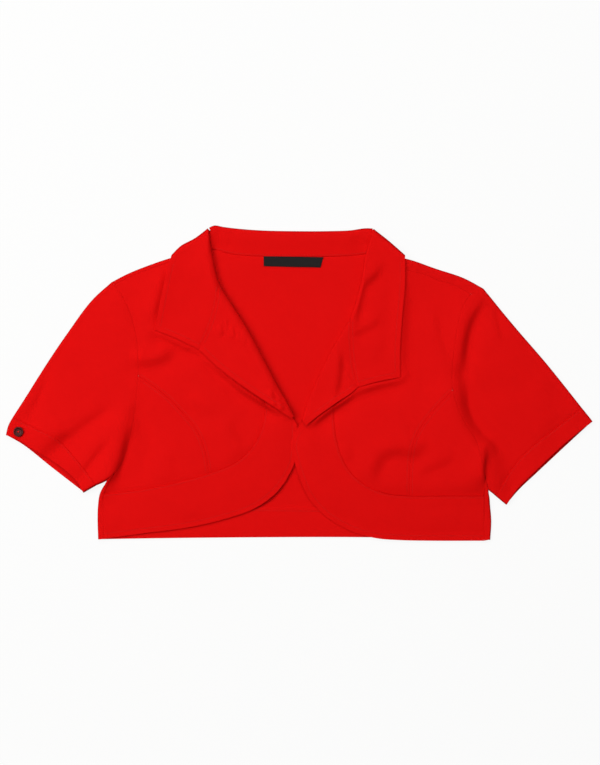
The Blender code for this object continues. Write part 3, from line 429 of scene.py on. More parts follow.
def trimmed(bottom, right, top, left, insets):
    # the edges of a panel moved in by their insets and cut where they meet; without a bottom, the right
    # and the left edge start where they cross
    rim = np.vstack([right, top[::-1], left[::-1]])
    turn = np.sign(np.sum(rim[:, 0] * np.roll(rim[:, 1], -1) - rim[:, 1] * np.roll(rim[:, 0], -1)))
    sides, turns = [bottom, right, top, left], [turn, turn, -turn, -turn]
    if bottom is None:
        sides, turns = sides[1:], turns[1:]
    moved = [longer(shifted(line, inset, way)) for line, inset, way in zip(sides, insets, turns)]
    *low, right, top, left = moved
    if low:
        lowStart, leftFrom = crossing(low[0], left)
        lowEnd, rightFrom = crossing(low[0], right)
        lowEdge = cutLine(low[0], lowStart, lowEnd)
    else:
        rightFrom, leftFrom = crossing(right, left)
        lowEdge = along(right, [rightFrom, rightFrom])
    topStart, leftTo = crossing(top, left)
    topEnd, rightTo = crossing(top, right)
    topEdge = cutLine(top, topStart, topEnd)
    return [lowEdge, cutLine(right, rightFrom, rightTo), topEdge, cutLine(left, leftFrom, leftTo)]


def blended(bottom, right, top, left):
    # plan grid between four sampled edges: both pairs of edges blended, less the blend of the corners
    def share(a, b):
        a, b = lengths(a), lengths(b)
        a = a / a[-1] if a[-1] > 1e-6 else b / b[-1]
        return (a + b / b[-1]) / 2
    u = share(bottom, top)[None, :, None]
    v = share(left, right)[:, None, None]
    across = (1 - u) * left[:, None] + u * right[:, None]
    upward = (1 - v) * bottom[None] + v * top[None]
    corners = (1 - v) * ((1 - u) * bottom[0] + u * bottom[-1]) + v * ((1 - u) * top[0] + u * top[-1])
    return across + upward - corners


def panelGrid(edges, step=None):
    # edges: four dense lines; the grid's faces are about one step wide
    step = step or layers["step"]
    bottom, right, top, left = edges
    cols = int(max(lengths(bottom)[-1], lengths(top)[-1]) / step) + 3
    rows = int(max(lengths(right)[-1], lengths(left)[-1]) / step) + 3
    start = np.repeat(bottom[:1], cols + 1, axis=0) if lengths(bottom)[-1] < 1e-6 else sampled(bottom, cols)
    return blended(start, sampled(right, rows), sampled(top, cols), sampled(left, rows))


def awayFrom(plan, line):
    # shortest distance in plan from each point to the line, and its share of the line's length
    line = cutLine(line, 0.0, lengths(line)[-1], max(8, int(lengths(line)[-1] / 3.0)))
    flat = plan.reshape(-1, 2)
    a, run = line[:-1], np.diff(line, axis=0)
    best = np.full(len(flat), 1e9)
    place = np.zeros(len(flat))
    total = lengths(line)
    for i in range(len(a)):
        gap = flat - a[i]
        t = np.clip(gap @ run[i] / (run[i] @ run[i]), 0.0, 1.0)
        d = np.hypot(gap[:, 0] - t * run[i, 0], gap[:, 1] - t * run[i, 1])
        closer = d < best
        best = np.where(closer, d, best)
        place = np.where(closer, (total[i] + t * (total[i + 1] - total[i])) / total[-1], place)
    return best.reshape(plan.shape[:-1]), place.reshape(plan.shape[:-1])


# Heights

downLight = np.array([0.71, -0.70])      # away from the light, in plan
farOff = 60.0                            # distance that stands for no row of stitches

limits = {
    "overHem": 0.75,         # the fronts' lowest level rises by this over the turned-up hem, below hemTop
    "hemTop": -134.0,
    "lowSharpness": 4.0,
    "underTurned": 0.35,     # room that the fronts keep under lapels and collar, and its growth beside them
    "growth": 0.9,
    "highSharpness": 5.0,
}

creaseForm = {
    "reach": 7,              # half widths from the line to where nothing of it is left
    "fade": 0.3,             # share of its length over which each end fades out
    "bell": 2.8,             # half widths of the slow return
    "step": 0.7,             # and of the drop
}

# Relief beside a line, for each kind: depth of the narrow furrow, height and width of a bell on the line,
# and height, start and length of the slope where the allowance under the cloth ends.
furrowWidth = 0.8
seamForms = {
    "plain": (0.14, 0.0, 1.0, 0.0, 0.0, 1.0),
    "open": (0.14, 0.0, 1.0, 0.07, 5.0, 6.0),
    "under": (0.18, -0.28, 3.2, 0.0, 0.0, 1.0),
    "faced": (0.18, 0.0, 1.0, 0.12, 6.5, 3.0),
    "edge": (0.18, 0.12, 1.0, 0.06, 5.0, 4.0),
}


def bell(distance, width):
    # 1 on the line: the exponential of minus the square of distance over width
    return np.exp(-((distance / width) ** 2))


def keptAbove(height, low, sharpness):
    # soft maximum: the logarithm of one plus the exponential of the sharpened difference
    return low + np.logaddexp(0.0, (height - low) * sharpness) / sharpness


def creaseLift(plan, creases, strength=1.0):
    # each crease is a soft step that fades out at both ends: the cloth rises slowly towards the line,
    # drops over it on the side away from the light, and comes slowly back to its level. Its form is the
    # hyperbolic tangent of the signed distance to the line, times a bell; a negative drop faces the light
    x, y = plan[..., 0], plan[..., 1]
    lift = np.zeros(x.shape)
    for points, halfWidth, drop in creases:
        line = curve(points, 8)
        normal = edgeNormals(line, 1)
        normal = normal * np.sign(np.sum(normal @ downLight))
        reach = creaseForm["reach"] * halfWidth
        low, high = line.min(axis=0) - reach, line.max(axis=0) + reach
        near = (x > low[0]) & (x < high[0]) & (y > low[1]) & (y < high[1])
        if not near.any():
            continue
        away, place = awayFrom(plan[near], line)
        at = place * lengths(line)[-1]
        facing = np.stack([np.interp(at, lengths(line), normal[:, i]) for i in (0, 1)], axis=-1)
        signed = np.sum((plan[near] - along(line, at)) * facing, axis=-1)
        fade = smoothStep(place / creaseForm["fade"]) * smoothStep((1 - place) / creaseForm["fade"])
        step = np.tanh(signed / (creaseForm["step"] * halfWidth)) - layers["creaseRise"]
        lift[near] -= strength * drop * fade * bell(away, creaseForm["bell"] * halfWidth) * step
    return lift


def waver(plan, height=0.16):
    # slow unevenness of cloth that lies loose: sines of 40 to 130 mm across each other
    x, y = plan[..., 0], plan[..., 1]
    waves = np.sin(x / 13.1 + 0.7 * np.sin(y / 21.0)) * np.sin(y / 17.3 + 1.1)
    waves = waves + 0.7 * np.sin((x + y) / 9.7 + 2.0) * np.sin((x - 1.7 * y) / 15.1)
    return height * waves


def neckRise(x, y):
    # the back and the shoulders rise where the collar's back lies under them: an even step in y, whose
    # place comes from a table of the distance to the middle of the neck
    away, reach = np.transpose(neckCut["reach"])
    place = np.interp(np.abs(x - neckCut["middle"]), away, reach)
    return layers["neckLift"] * smoothStep((y - place + neckCut["before"]) / neckCut["run"])


def backLift(plan):
    # the back's own level with its creases; half of the waves and of the root of their square, softened,
    # keeps their low parts off the table
    x, y = plan[..., 0], plan[..., 1]
    waves = creaseLift(plan, backCut["creases"]) * smoothStep((y - backCut["flatBelow"]) / 15.0)
    return layers["back"] + neckRise(x, y) + 0.5 * (waves + np.sqrt(waves ** 2 + backCut["softRoot"]))


def baseLift(plan, half):
    # the fronts with their large folds only, as the solids have them: each fold is a bell of the
    # distance to its line, and the overlap of the fronts is a bell of x
    x, y = plan[..., 0], plan[..., 1]
    height = layers["front"] + neckRise(x, y) - layers["hemDrop"] * smoothStep((-118.0 - y) / 40.0)
    for x1, y1, x2, y2, halfWidth, depth in bigFolds:
        run = np.array([x2 - x1, y2 - y1], float)
        share = np.clip(((x - x1) * run[0] + (y - y1) * run[1]) / (run @ run), 0.0, 1.0)
        away = np.hypot(x - x1 - share * run[0], y - y1 - share * run[1])
        height = height - depth * bell(away, halfWidth)
    overlap = bell(x, 15.0) * smoothStep((-30.0 - y) / 12.0) * smoothStep((y + 130.0) / 20.0)
    return height + half["overlapRise"] * overlap


def heldUp(height, plan):
    # soft lowest level above the back, and over its turned-up hem
    low = layers["lowest"] + limits["overHem"] * smoothStep((limits["hemTop"] - plan[..., 1]) / 5.0)
    return keptAbove(height, low, limits["lowSharpness"])


def insideOf(plan, outline):
    # a point is inside when a line from it to the right crosses the outline an odd number of times
    x, y = plan[..., 0], plan[..., 1]
    odd = np.zeros(x.shape, bool)
    for (x1, y1), (x2, y2) in zip(outline, np.roll(outline, -1, axis=0)):
        if y1 != y2:
            odd ^= ((y1 > y) != (y2 > y)) & (x < x1 + (y - y1) * (x2 - x1) / (y2 - y1))
    return odd


def keptUnder(height, plan, half):
    # where a lapel or the collar lies over a front, the front stays just below it; the room over it
    # grows evenly with the distance from their edge
    edge, front, lower, roll = linesOf(half, "collarEdge", "collarFront", "lapelEdge", "roll")
    outer = joined(edge[::-1], front[::-1], lower)
    over = insideOf(plan, joined(outer, roll[::-1]))
    room = limits["underTurned"] + limits["growth"] * np.where(over, 0.0, awayFrom(plan, outer)[0])
    return -keptAbove(-height, -(baseLift(plan, half) + room), limits["highSharpness"])


def frontLift(plan, half):
    # base, creases and waver, held above the back and under the turned layers
    height = baseLift(plan, half) + creaseLift(plan, half["creases"], layers["creases"]) + waver(plan)
    return heldUp(keptUnder(height, plan, half), plan)


def edgeRise(plan, line, height):
    # a free edge stands off what it lies on: most in the middle of its length, none at its ends
    away, place = awayFrom(plan, line)
    return height * bell(away, layers["edgeReach"]) * np.sin(math.pi * np.clip(place, 0, 1)) ** 0.7


def fullness(share, half):
    table = np.array(rollFullness)
    return half["rollShape"]["full"] * np.interp(share, table[:, 0], table[:, 1])


def turnedLift(plan, half):
    # lapels and collar: above the fronts by their own rise, and fuller towards the roll line by a bell
    away, place = awayFrom(plan, curve(half["roll"], 12))
    rise = layers["turned"] + fullness(place, half) * bell(away, layers["rollReach"])
    creases = creaseLift(plan, half["turnedCreases"], layers["turnedCreases"])
    return baseLift(plan, half) + (rise + creases + waver(plan, 0.10))


def rollInset(distance, half):
    # from the roll line in to where the flat layers start: its radius, and more where it turns softly
    share = np.asarray(distance) / lengths(curve(half["roll"]))[-1]
    radius = (layers["turned"] + fullness(share, half)) / 2 + facedWall / 2
    soft = smoothStep(share / 0.16) * smoothStep((1 - share) / 0.22)
    return radius * (0.5 + 0.5 * smoothStep(share / 0.05)) + half["rollShape"]["soft"] * soft


def seamRelief(plan, edges):
    # edges: line, kind. The cloth rounds down at every seam and stands a little over its allowances
    lift = np.zeros(plan.shape[:-1])
    for line, kind in edges:
        furrow, ridge, ridgeWidth, layer, start, run = seamForms[kind]
        away, _ = awayFrom(plan, line)
        lift += ridge * bell(away, ridgeWidth) + layer * (1 - smoothStep((away - start) / run))
        lift -= furrow * bell(away, furrowWidth)
    return lift


def stitchRows(plan, rows):
    # signed distance to the nearest row of stitches, where each row runs beside an edge
    nearest = np.full(plan.shape[:-1], farOff)
    for line, offset in rows:
        nearest = np.minimum(nearest, awayFrom(plan, line)[0] - offset)
    return nearest


# Meshes

def raised(plan, height):
    return np.concatenate([plan, np.broadcast_to(height, plan.shape[:-1])[..., None]], axis=-1)


def folded(base, crest, zFrom, zTo, wall, steps=10, nose=0.5, ease=1.0):
    # half turn round a fold: the wall's outer face just reaches the crest, which lies at the share nose
    # of the height. The way out goes by the sine of the turn and the way up and down by its cosine; over
    # the crest both are raised to the power ease, so that a roll slopes down evenly before it turns
    reach = np.linalg.norm(crest - base, axis=1)
    arm = (crest - base) * np.clip(1.0 - wall / 2 / np.maximum(reach, 1e-6), 0.0, 1.0)[:, None]
    angle = np.linspace(0.0, math.pi, steps + 1)[:, None]
    level = zTo + nose * (zFrom - zTo)
    turn, out = np.cos(angle), np.clip(np.sin(angle), 0.0, 1.0)
    over = turn > 0
    plan = base[None] + arm[None] * np.where(over, out ** ease, out)[..., None]
    rise = np.where(over, (zFrom - level)[None] * np.abs(turn) ** ease, (level - zTo)[None] * turn)
    return raised(plan, level[None] + rise)


def unrolled(grid, outward):
    # flat place of each point of a turned strip: its first row, then outward by the length of cloth
    steps = np.linalg.norm(np.diff(grid, axis=0), axis=2)
    run = np.concatenate([np.zeros((1, grid.shape[1])), np.cumsum(steps, axis=0)])
    way = outward / np.maximum(np.linalg.norm(outward, axis=1), 1e-6)[:, None]
    return grid[0, :, :2][None] + way[None] * run[..., None]


def laid(plan, height, rowA=None, rowB=None):
    # a grid: points, flat places, signed distances to two sets of stitch rows
    return raised(plan, height), plan, rowA, rowB


def rolled(strip, outward):
    return strip, unrolled(strip, outward), None, None


def ringQuads(index):
    # faces between closed rings of points, from one ring to the next
    around = np.roll(index, -1, axis=-1)
    corners = (index[..., :-1, :], around[..., :-1, :], around[..., 1:, :], index[..., 1:, :])
    return np.stack(corners, axis=-1).reshape(-1, 4)


def cleaned(mesh, merge, thin):
    # points closer than merge become one, faces thinner than thin go, and all faces look outward
    work = bmesh.new()
    work.from_mesh(mesh)
    bmesh.ops.remove_doubles(work, verts=work.verts, dist=merge)
    bmesh.ops.dissolve_degenerate(work, edges=work.edges, dist=thin)
    bmesh.ops.recalc_face_normals(work, faces=work.faces)
    work.to_mesh(mesh)
    work.free()


def linked(name, data):
    thing = bpy.data.objects.new(name, data)
    bpy.context.scene.collection.objects.link(thing)
    return thing


def dressed(name, mesh, material):
    # the piece of a mesh, riding on the one body
    mesh.shade_smooth()
    mesh.materials.append(material)
    piece = linked(name, mesh)
    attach(piece, "root")
    return piece


def pointValues(mesh, label, values):
    mesh.attributes.new(label, "FLOAT", "POINT").data.foreach_set("value", values)


def clothPiece(name, node, grids, wall, bevel=0.3, slot="red_cloth"):
    # the grids become one sheet of cloth with a wall, its flat places in the UV and its rows of stitches
    # and its slope in attributes
    points, flats, quads, start = [], [], [], 0
    rows = {"rowA": [], "rowB": []}
    for points3, flat, *distances in grids:
        index = start + np.arange(points3[..., 0].size).reshape(points3.shape[:2])
        corners = (index[:-1, :-1], index[:-1, 1:], index[1:, 1:], index[1:, :-1])
        quads.append(np.stack(corners, -1).reshape(-1, 4))
        points.append((points3.reshape(-1, 3) - middle) * mm)
        flats.append(flat.reshape(-1, 2) * mm)
        for label, distance in zip(rows, distances):
            rows[label].append(np.full(index.size, farOff) if distance is None else distance.reshape(-1))
        start += index.size
    quads = np.vstack(quads)
    mesh = bpy.data.meshes.new(name)
    mesh.from_pydata(np.vstack(points), [], quads)
    uv = mesh.uv_layers.new(name="cloth")
    uv.data.foreach_set("uv", np.vstack(flats)[quads.reshape(-1)].reshape(-1))
    for label, values in rows.items():
        pointValues(mesh, label, np.concatenate(values))
    cleaned(mesh, 4e-6, 1e-6)
    normals = np.empty(3 * len(mesh.vertices))
    mesh.vertex_normals.foreach_get("vector", normals)
    # slope of each point, kept as the mask of the painted shade: the colour is darkened where the cloth turns
    # down at folds and edges
    pointValues(mesh, "slope", np.clip(1.0 - np.abs(normals[2::3]) / 0.9, 0.0, 1.0))
    piece = dressed(name, mesh, clothOf[slot])
    solid = piece.modifiers.new("wall", "SOLIDIFY")
    solid.thickness = wall * mm
    solid.offset = 0.0
    rounding = piece.modifiers.new("soft edge", "BEVEL")
    rounding.width = bevel * mm
    rounding.segments = 2
    rounding.limit_method = "ANGLE"
    rounding.angle_limit = math.radians(60)
    rounding.use_clamp_overlap = True
    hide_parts(node)
    area = round(sum(p.area for p in mesh.polygons), 5)
    print("piece", name, len(mesh.vertices), "points, cloth", area, "m2")


# Materials

def feed(tree, inputs, values):
    # sets each input that is named or numbered here: from another socket by a link, or to a value
    for label, value in values.items():
        if hasattr(value, "is_output"):
            tree.links.new(value, inputs[label])
        else:
            inputs[label].default_value = value


def made(tree, kind, values, **settings):
    # a new node's outputs, with the node's settings and inputs in place
    node = tree.nodes.new("ShaderNode" + kind)
    for label, value in settings.items():
        setattr(node, label, value)
    feed(tree, node.inputs, values)
    return node.outputs


def maths(tree, operation, *values):
    return made(tree, "Math", dict(enumerate(values)), operation=operation)[0]


def newGroup(name, inputs, outputs):
    # a node group, what it is given, and the inputs of its result
    group = bpy.data.node_groups.new(name, "ShaderNodeTree")
    for label, value in inputs.items():
        group.interface.new_socket(label, in_out="INPUT", socket_type="NodeSocketFloat").default_value = value
    for label in outputs:
        group.interface.new_socket(label, in_out="OUTPUT", socket_type="NodeSocketFloat")
    return group, group.nodes.new("NodeGroupInput").outputs, group.nodes.new("NodeGroupOutput").inputs


def newMaterial(name):
    material = bpy.data.materials.new(name)
    material.use_nodes = True
    return material, material.node_tree, material.node_tree.nodes["Principled BSDF"].inputs


def weaveGroup():
    # twill: a wave along the diagonal of the cloth, broken into threads by a finer wave across it
    group, given, result = newGroup("twillWeave", {"Pitch mm": 0.6, "Depth mm": 0.03}, ["Height", "Shade"])
    calc = partial(maths, group)
    uv = made(group, "UVMap", {}, uv_map="cloth")[0]
    place = made(group, "SeparateXYZ", {0: uv})
    turn = calc("DIVIDE", 2 * math.pi / mm, given["Pitch mm"])
    rib = calc("SINE", calc("MULTIPLY", calc("ADD", place[0], place[1]), turn))
    thread = calc("SINE", calc("MULTIPLY", place[0], calc("MULTIPLY", turn, 1.7)))
    both = calc("MULTIPLY_ADD", thread, 0.45, rib)
    stretched = made(group, "Mapping", {"Vector": uv, "Scale": (1.0, 0.18, 1.0)})[0]
    slub = made(group, "TexNoise", {"Vector": stretched, "Scale": 900.0, "Detail": 2.0})[0]
    uneven = calc("MULTIPLY_ADD", calc("SUBTRACT", slub, 0.5), 1.2, both)
    height = calc("MULTIPLY", uneven, calc("MULTIPLY", given["Depth mm"], mm))
    feed(group, result, {"Height": height, "Shade": calc("MULTIPLY_ADD", uneven, 0.25, 0.5)})
    return group


def stitchGroup():
    # groove that the thread pulls into the cloth: a bell of the distance to the row, stronger and weaker by a
    # slow noise along the cloth. The same bell gives the bump and a painted shade that darkens the colour
    # along the groove
    group, given, result = newGroup("stitchGroove", {"Width mm": 0.7, "Depth mm": 0.3}, ["Height", "Shade"])
    calc = partial(maths, group)
    bells = []
    for label in ("rowA", "rowB"):
        away = made(group, "Attribute", {}, attribute_name=label)["Fac"]
        share = calc("DIVIDE", away, given["Width mm"])
        bells.append(calc("EXPONENT", calc("MULTIPLY", calc("MULTIPLY", share, share), -1.0)))
    uv = made(group, "UVMap", {}, uv_map="cloth")[0]
    pucker = made(group, "TexNoise", {"Vector": uv, "Scale": 420.0, "Detail": 1.0})[0]
    grooveAndPaintedShade = calc("MULTIPLY", calc("MAXIMUM", *bells), calc("MULTIPLY_ADD", pucker, 0.9, 0.35))
    depth = calc("MULTIPLY", given["Depth mm"], -mm)
    feed(group, result, {"Height": calc("MULTIPLY", grooveAndPaintedShade, depth), "Shade": grooveAndPaintedShade})
    return group


def dyeGroup():
    # slow unevenness of the dye and of handling, from two sizes of noise over the object
    group, given, result = newGroup("unevenDye", {"Amount": 0.04}, ["Shade"])
    place = made(group, "TexCoord", {})["Object"]
    parts = []
    for scale, weight in ((14.0, 0.65), (60.0, 0.35)):
        noise = made(group, "TexNoise", {"Vector": place, "Scale": scale, "Detail": 3.0})[0]
        parts.append(maths(group, "MULTIPLY", maths(group, "SUBTRACT", noise, 0.5), weight))
    shade = maths(group, "MULTIPLY_ADD", maths(group, "ADD", *parts), given["Amount"], 1.0)
    feed(group, result, {"Shade": shade})
    return group


def paintedSlopeShadeGroup():
    # painted shade: where the cloth turns down at a fold or an edge its colour is darkened with the slope,
    # standing in for the light it would miss there
    group, given, result = newGroup("paintedSlopeShade", {"Depth": 0.4}, ["Shade"])
    slope = made(group, "Attribute", {}, attribute_name="slope")["Fac"]
    paintedDarkening = maths(group, "MULTIPLY", slope, given["Depth"])
    feed(group, result, {"Shade": maths(group, "SUBTRACT", 1.0, paintedDarkening)})
    return group


# turned is the painted shade of folds and edges: colour darkened by the slope
weave, groove, dye, turned = weaveGroup(), stitchGroup(), dyeGroup(), paintedSlopeShadeGroup()


def clothMaterial(name, look):
    # the colour times the shades of weave and dye, times painted shade on sloping cloth and in the stitch
    # grooves; weave and grooves are also its bump
    material, tree, shader = newMaterial(name)
    calc = partial(maths, tree)
    feed(tree, shader, look["shader"])
    ribs = made(tree, "Group", look["weave"], node_tree=weave)
    rows = made(tree, "Group", look["groove"], node_tree=groove)
    patches = made(tree, "Group", look["dye"], node_tree=dye)["Shade"]
    # painted shade: darker colour where the cloth slopes down at folds and edges
    paintedFoldShade = made(tree, "Group", look["turn"], node_tree=turned)["Shade"]
    height = calc("ADD", ribs["Height"], rows["Height"])
    light = calc("MULTIPLY_ADD", calc("SUBTRACT", ribs["Shade"], 0.5), 0.06, 1.0)
    light = calc("MULTIPLY", calc("MULTIPLY", light, patches), paintedFoldShade)
    # painted shade of the stitch grooves: the colour darkens along each row
    light = calc("MULTIPLY", light, calc("MULTIPLY_ADD", rows["Shade"], -0.05, 1.0))
    grey = made(tree, "CombineColor", {0: light, 1: light, 2: light})[0]
    tint = {"Factor": 1.0, "A": look["color"], "B": grey}
    feed(tree, shader, {
        "Base Color": made(tree, "Mix", tint, data_type="RGBA", blend_type="MULTIPLY")["Result"],
        "Roughness": calc("MULTIPLY_ADD", ribs["Shade"], 0.12, look["roughness"]),
        "Normal": made(tree, "Bump", {"Distance": 1.0, "Height": height})[0],
    })
    return material


gabardine = {
    "color": (0.745, 0.0022, 0.0021, 1.0),
    "shader": {
        "Specular IOR Level": 0.06, "Sheen Weight": 0.03, "Sheen Roughness": 0.45,
        "Sheen Tint": (1.0, 0.04, 0.03, 1.0),
    },
    "weave": {"Pitch mm": 0.62, "Depth mm": 0.022},
    "groove": {"Width mm": 0.8, "Depth mm": 0.08},
    "dye": {"Amount": 0.05},
    # painted shade on slopes: the colour darkens by up to this share where the cloth turns down
    "turn": {"Depth": 0.4},
    "roughness": 0.72,
}
ribbon = {
    "color": (0.011, 0.009, 0.009, 1.0),
    "shader": {
        "Specular IOR Level": 0.14, "Sheen Weight": 0.01, "Sheen Roughness": 0.45,
        "Sheen Tint": (1.0, 1.0, 1.0, 1.0),
    },
    "weave": {"Pitch mm": 0.42, "Depth mm": 0.02},
    "groove": {"Width mm": 0.5, "Depth mm": 0.15},
    "dye": {"Amount": 0.10},
    # painted shade on slopes: the colour darkens by up to this share where the ribbon turns down
    "turn": {"Depth": 0.2},
    "roughness": 0.6,
}
redCloth = clothMaterial("redGabardine", gabardine)
clothOf = {
    "red_cloth": redCloth,
    "red_hem": redCloth,
    "label_cloth": clothMaterial("blackLabelCloth", ribbon),
}


def threadMaterial(name, color, roughness):
    # plied thread: its colour darkens in a fine twist over the object
    material, tree, shader = newMaterial(name)
    place = made(tree, "TexCoord", {})["Object"]
    twist = {"Vector": place, "Scale": 900.0, "Distortion": 1.5}
    twist = made(tree, "TexWave", twist, bands_direction="DIAGONAL")["Fac"]
    feed(tree, shader, {
        "Roughness": roughness,
        "Specular IOR Level": 0.25,
        "Base Color": ramped(tree, twist, (0.0, [c * 0.7 for c in color]), (1.0, color)),
        "Normal": made(tree, "Bump", {"Distance": 0.00005, "Height": twist})[0],
    })
    return material


def ramped(tree, share, *stops):
    # a colour between two stops: place, colour
    node = tree.nodes.new("ShaderNodeValToRGB")
    for element, (position, color) in zip(node.color_ramp.elements, stops):
        element.position = position
        element.color = (*color, 1.0)
    feed(tree, node.inputs, {0: share})
    return node.outputs[0]


redThread = threadMaterial("redThread", (0.72, 0.012, 0.010), 0.6)


# Panels

stitches = {
    "length": 2.5,
    "gap": 0.55,
    "radius": 0.17,
    "dive": 0.32,            # how deep the ends go down into the cloth
    "seed": 11,
    "uneven": 0.05,          # spread of the places along the row, and across and along for the whole stitch
    "astray": 0.04,
    "openRow": 3.0,          # distance of each row from its seam or edge
    "bandRow": 1.7,
    "edgeRow": 5.5,
    "gorgeRow": 2.2,
    "hemRow": 3.9,
}
sewnRows = []        # line in plan, height function, wall, lengths left out at both ends


def sidePiece(half, name, node, grids, wall, bevel=0.3):
    clothPiece(name + half["name"] + "Shell", node + "_" + half["name"].lower(), grids, wall, bevel)


def nearEnd(count, share):
    # 0 along a line of this many points, rising evenly to 1 over the last share of it
    return smoothStep((np.linspace(0, 1, count) - 1 + share) / share)[:, None]


def rollInner(half):
    # where a front stops under the roll: the roll line moved back by the roll's own reach
    line = curve(half["roll"])
    return shifted(line, rollInset(lengths(line), half) + layers["rollRoom"], half["sign"])


def shoulderSeam(half):
    crest = curve(half["shoulder"])
    inside = np.interp(np.linspace(0, 1, 60), [0.0, 0.5, 1.0], half["shoulderIn"])
    return shifted(cutLine(crest, 0.0, lengths(crest)[-1], 60), inside, half["sign"])


def gorgeGap(gorge):
    # the gorge's seam opens a little at its upper end
    return seamGap + 0.12 * np.exp(-lengths(gorge) / 6.0)


def armholeGap(armhole):
    # and the armhole's at its low end
    return seamGap + 0.15 * smoothStep((np.linspace(0, 1, len(armhole)) - 0.8) / 0.2)


def sew(line, offset, side, lift, wall, skip=(2.0, 2.0)):
    sewnRows.append((shifted(line, offset, side), lift, wall, skip))


def frontPanel(half, name, node, edges, band, kinds, way, skip):
    # a flat part of a front, with its row of stitches along the princess seam; it sinks towards the band
    plan = panelGrid(edges)
    princess = curve(half["princess"])
    depth, width, start = half["bandSink"]

    def lift(p):
        sink = depth * bell(awayFrom(p, band)[0], width) * smoothStep((p[..., 0] - start) / 25.0)
        return heldUp(frontLift(p, half) - sink, p) + seamRelief(p, kinds)

    rows = stitchRows(plan, [(princess, stitches["openRow"])])
    sew(princess, stitches["openRow"], way * half["sign"], lift, clothWall, skip)
    sidePiece(half, name, node, [laid(plan, lift(plan), rows)], clothWall)


def frontCentre(half):
    armhole, princess, band = linesOf(half, "armhole", "princess", "bandSeam")
    shoulder = shoulderSeam(half)
    high = cutLine(armhole, half["shoulderIn"][0] + 0.6, knotAt(half["armhole"], half["armholeKnot"]))
    band = cutLine(band, knotAt(half["bandSeam"], half["bandKnot"]), lengths(band)[-1])
    gap = seamGap
    edges = trimmed(shoulder, rollInner(half), band, joined(high, princess), (gap, 0.0, gap, gap))
    kinds = [(shoulder, "plain"), (band, "under"), (high, "plain"), (princess, "open")]
    half["shoulderEnd"] = edges[0]
    frontPanel(half, "frontCentre", "front_centre", edges, band, kinds, -1, (2.0, 2.0))


def frontSide(half):
    armhole, princess, band = linesOf(half, "armhole", "princess", "bandSeam")
    knot = knotAt(half["armhole"], half["armholeKnot"])
    low = cutLine(armhole, knot, lengths(armhole)[-1] - half["underarmIn"])
    side = np.linspace(low[-1], half["sideSeam"][1], 20)
    band = cutLine(band, 0.0, knotAt(half["bandSeam"], half["bandKnot"]))
    edges = trimmed(None, princess, band, joined(low, side), [seamGap] * 3)
    kinds = [(band, "under"), (low, "plain"), (princess, "open"), (side, "plain")]
    frontPanel(half, "frontSide", "front_side", edges, band, kinds, 1, (9.0, 2.0))


def hemBand(half):
    # the band along the hem and up the front, whose free edge falls off by a bell
    band, freeEdge = linesOf(half, "bandSeam", "freeEdge")
    side = np.linspace(half["sideSeam"][0], half["sideSeam"][1], 20)
    gap, wall = seamGap, facedWall
    plan = panelGrid(trimmed(freeEdge, rollInner(half)[::-1], band, side, (0.0, 0.0, gap, gap)))
    kinds = [(band, "faced"), (side, "plain"), (freeEdge, "edge")]

    def lift(p):
        fall = half["edgeFall"] * bell(awayFrom(p, freeEdge)[0], layers["fallReach"])
        return heldUp(frontLift(p, half) - fall, p) + seamRelief(p, kinds) + layers["bandRise"]

    sew(freeEdge, stitches["edgeRow"], -half["sign"], lift, wall, (1.0, 6.0))
    sew(band, stitches["bandRow"], half["sign"], lift, wall, (1.0, 22.0))
    rowA = stitchRows(plan, [(freeEdge, stitches["edgeRow"])])
    rowB = stitchRows(plan, [(band, stitches["bandRow"])])
    sidePiece(half, "hemBand", "hem_band", [laid(plan, lift(plan), rowA, rowB)], wall)


def turnedTop(half, plan, crest, lift, rowA, rowB):
    # the upper layer, and the roll: from it round the roll line, down to the panel that it belongs to
    top = laid(plan, lift(plan), rowA, rowB)
    edge, shape = plan[:, 0], half["rollShape"]
    high, low = turnedLift(edge, half), baseLift(edge, half)
    strip = folded(edge, crest, high, low, facedWall, 20, shape["nose"], shape["ease"])
    strip[0] = top[0][:, 0]
    return [top, rolled(strip, crest - edge)]


def lapel(half):
    # rows from the gorge down to the tip, columns from the roll line to the outer edge
    line, outer, gorge = linesOf(half, "roll", "lapelEdge", "gorge")
    first = knotAt(half["roll"], half["gorgeKnot"])
    distance = np.linspace(first, lengths(line)[-1] - half["lapelStop"], 120)
    inner = along(line, distance)
    tip = np.linspace(inner[-1], outer[-1], 6)
    gap = gorgeGap(gorge)
    reach = rollInset(distance, half)
    plan = panelGrid(trimmed(gorge, outer, tip, inner, (gap, 0, 0, reach)), layers["fineStep"])
    crest = sampled(trimmed(gorge, outer, tip, inner, (gap, 0, 0, 0))[3], plan.shape[0] - 1)

    def lift(p):
        rise = edgeRise(p, outer, half["edgeLift"][0])
        return turnedLift(p, half) + seamRelief(p, [(gorge, "open")]) + rise

    rowA = stitchRows(plan, [(outer, stitches["edgeRow"])])
    rowB = stitchRows(plan, [(gorge, stitches["gorgeRow"])])
    sew(outer, stitches["edgeRow"], -half["sign"], lift, facedWall, (2.5, 14.0))
    sew(gorge, stitches["gorgeRow"], -half["sign"], lift, facedWall, (5.0, 6.0))
    sidePiece(half, "lapel", "lapel", turnedTop(half, plan, crest, lift, rowA, rowB), facedWall, 0.4)


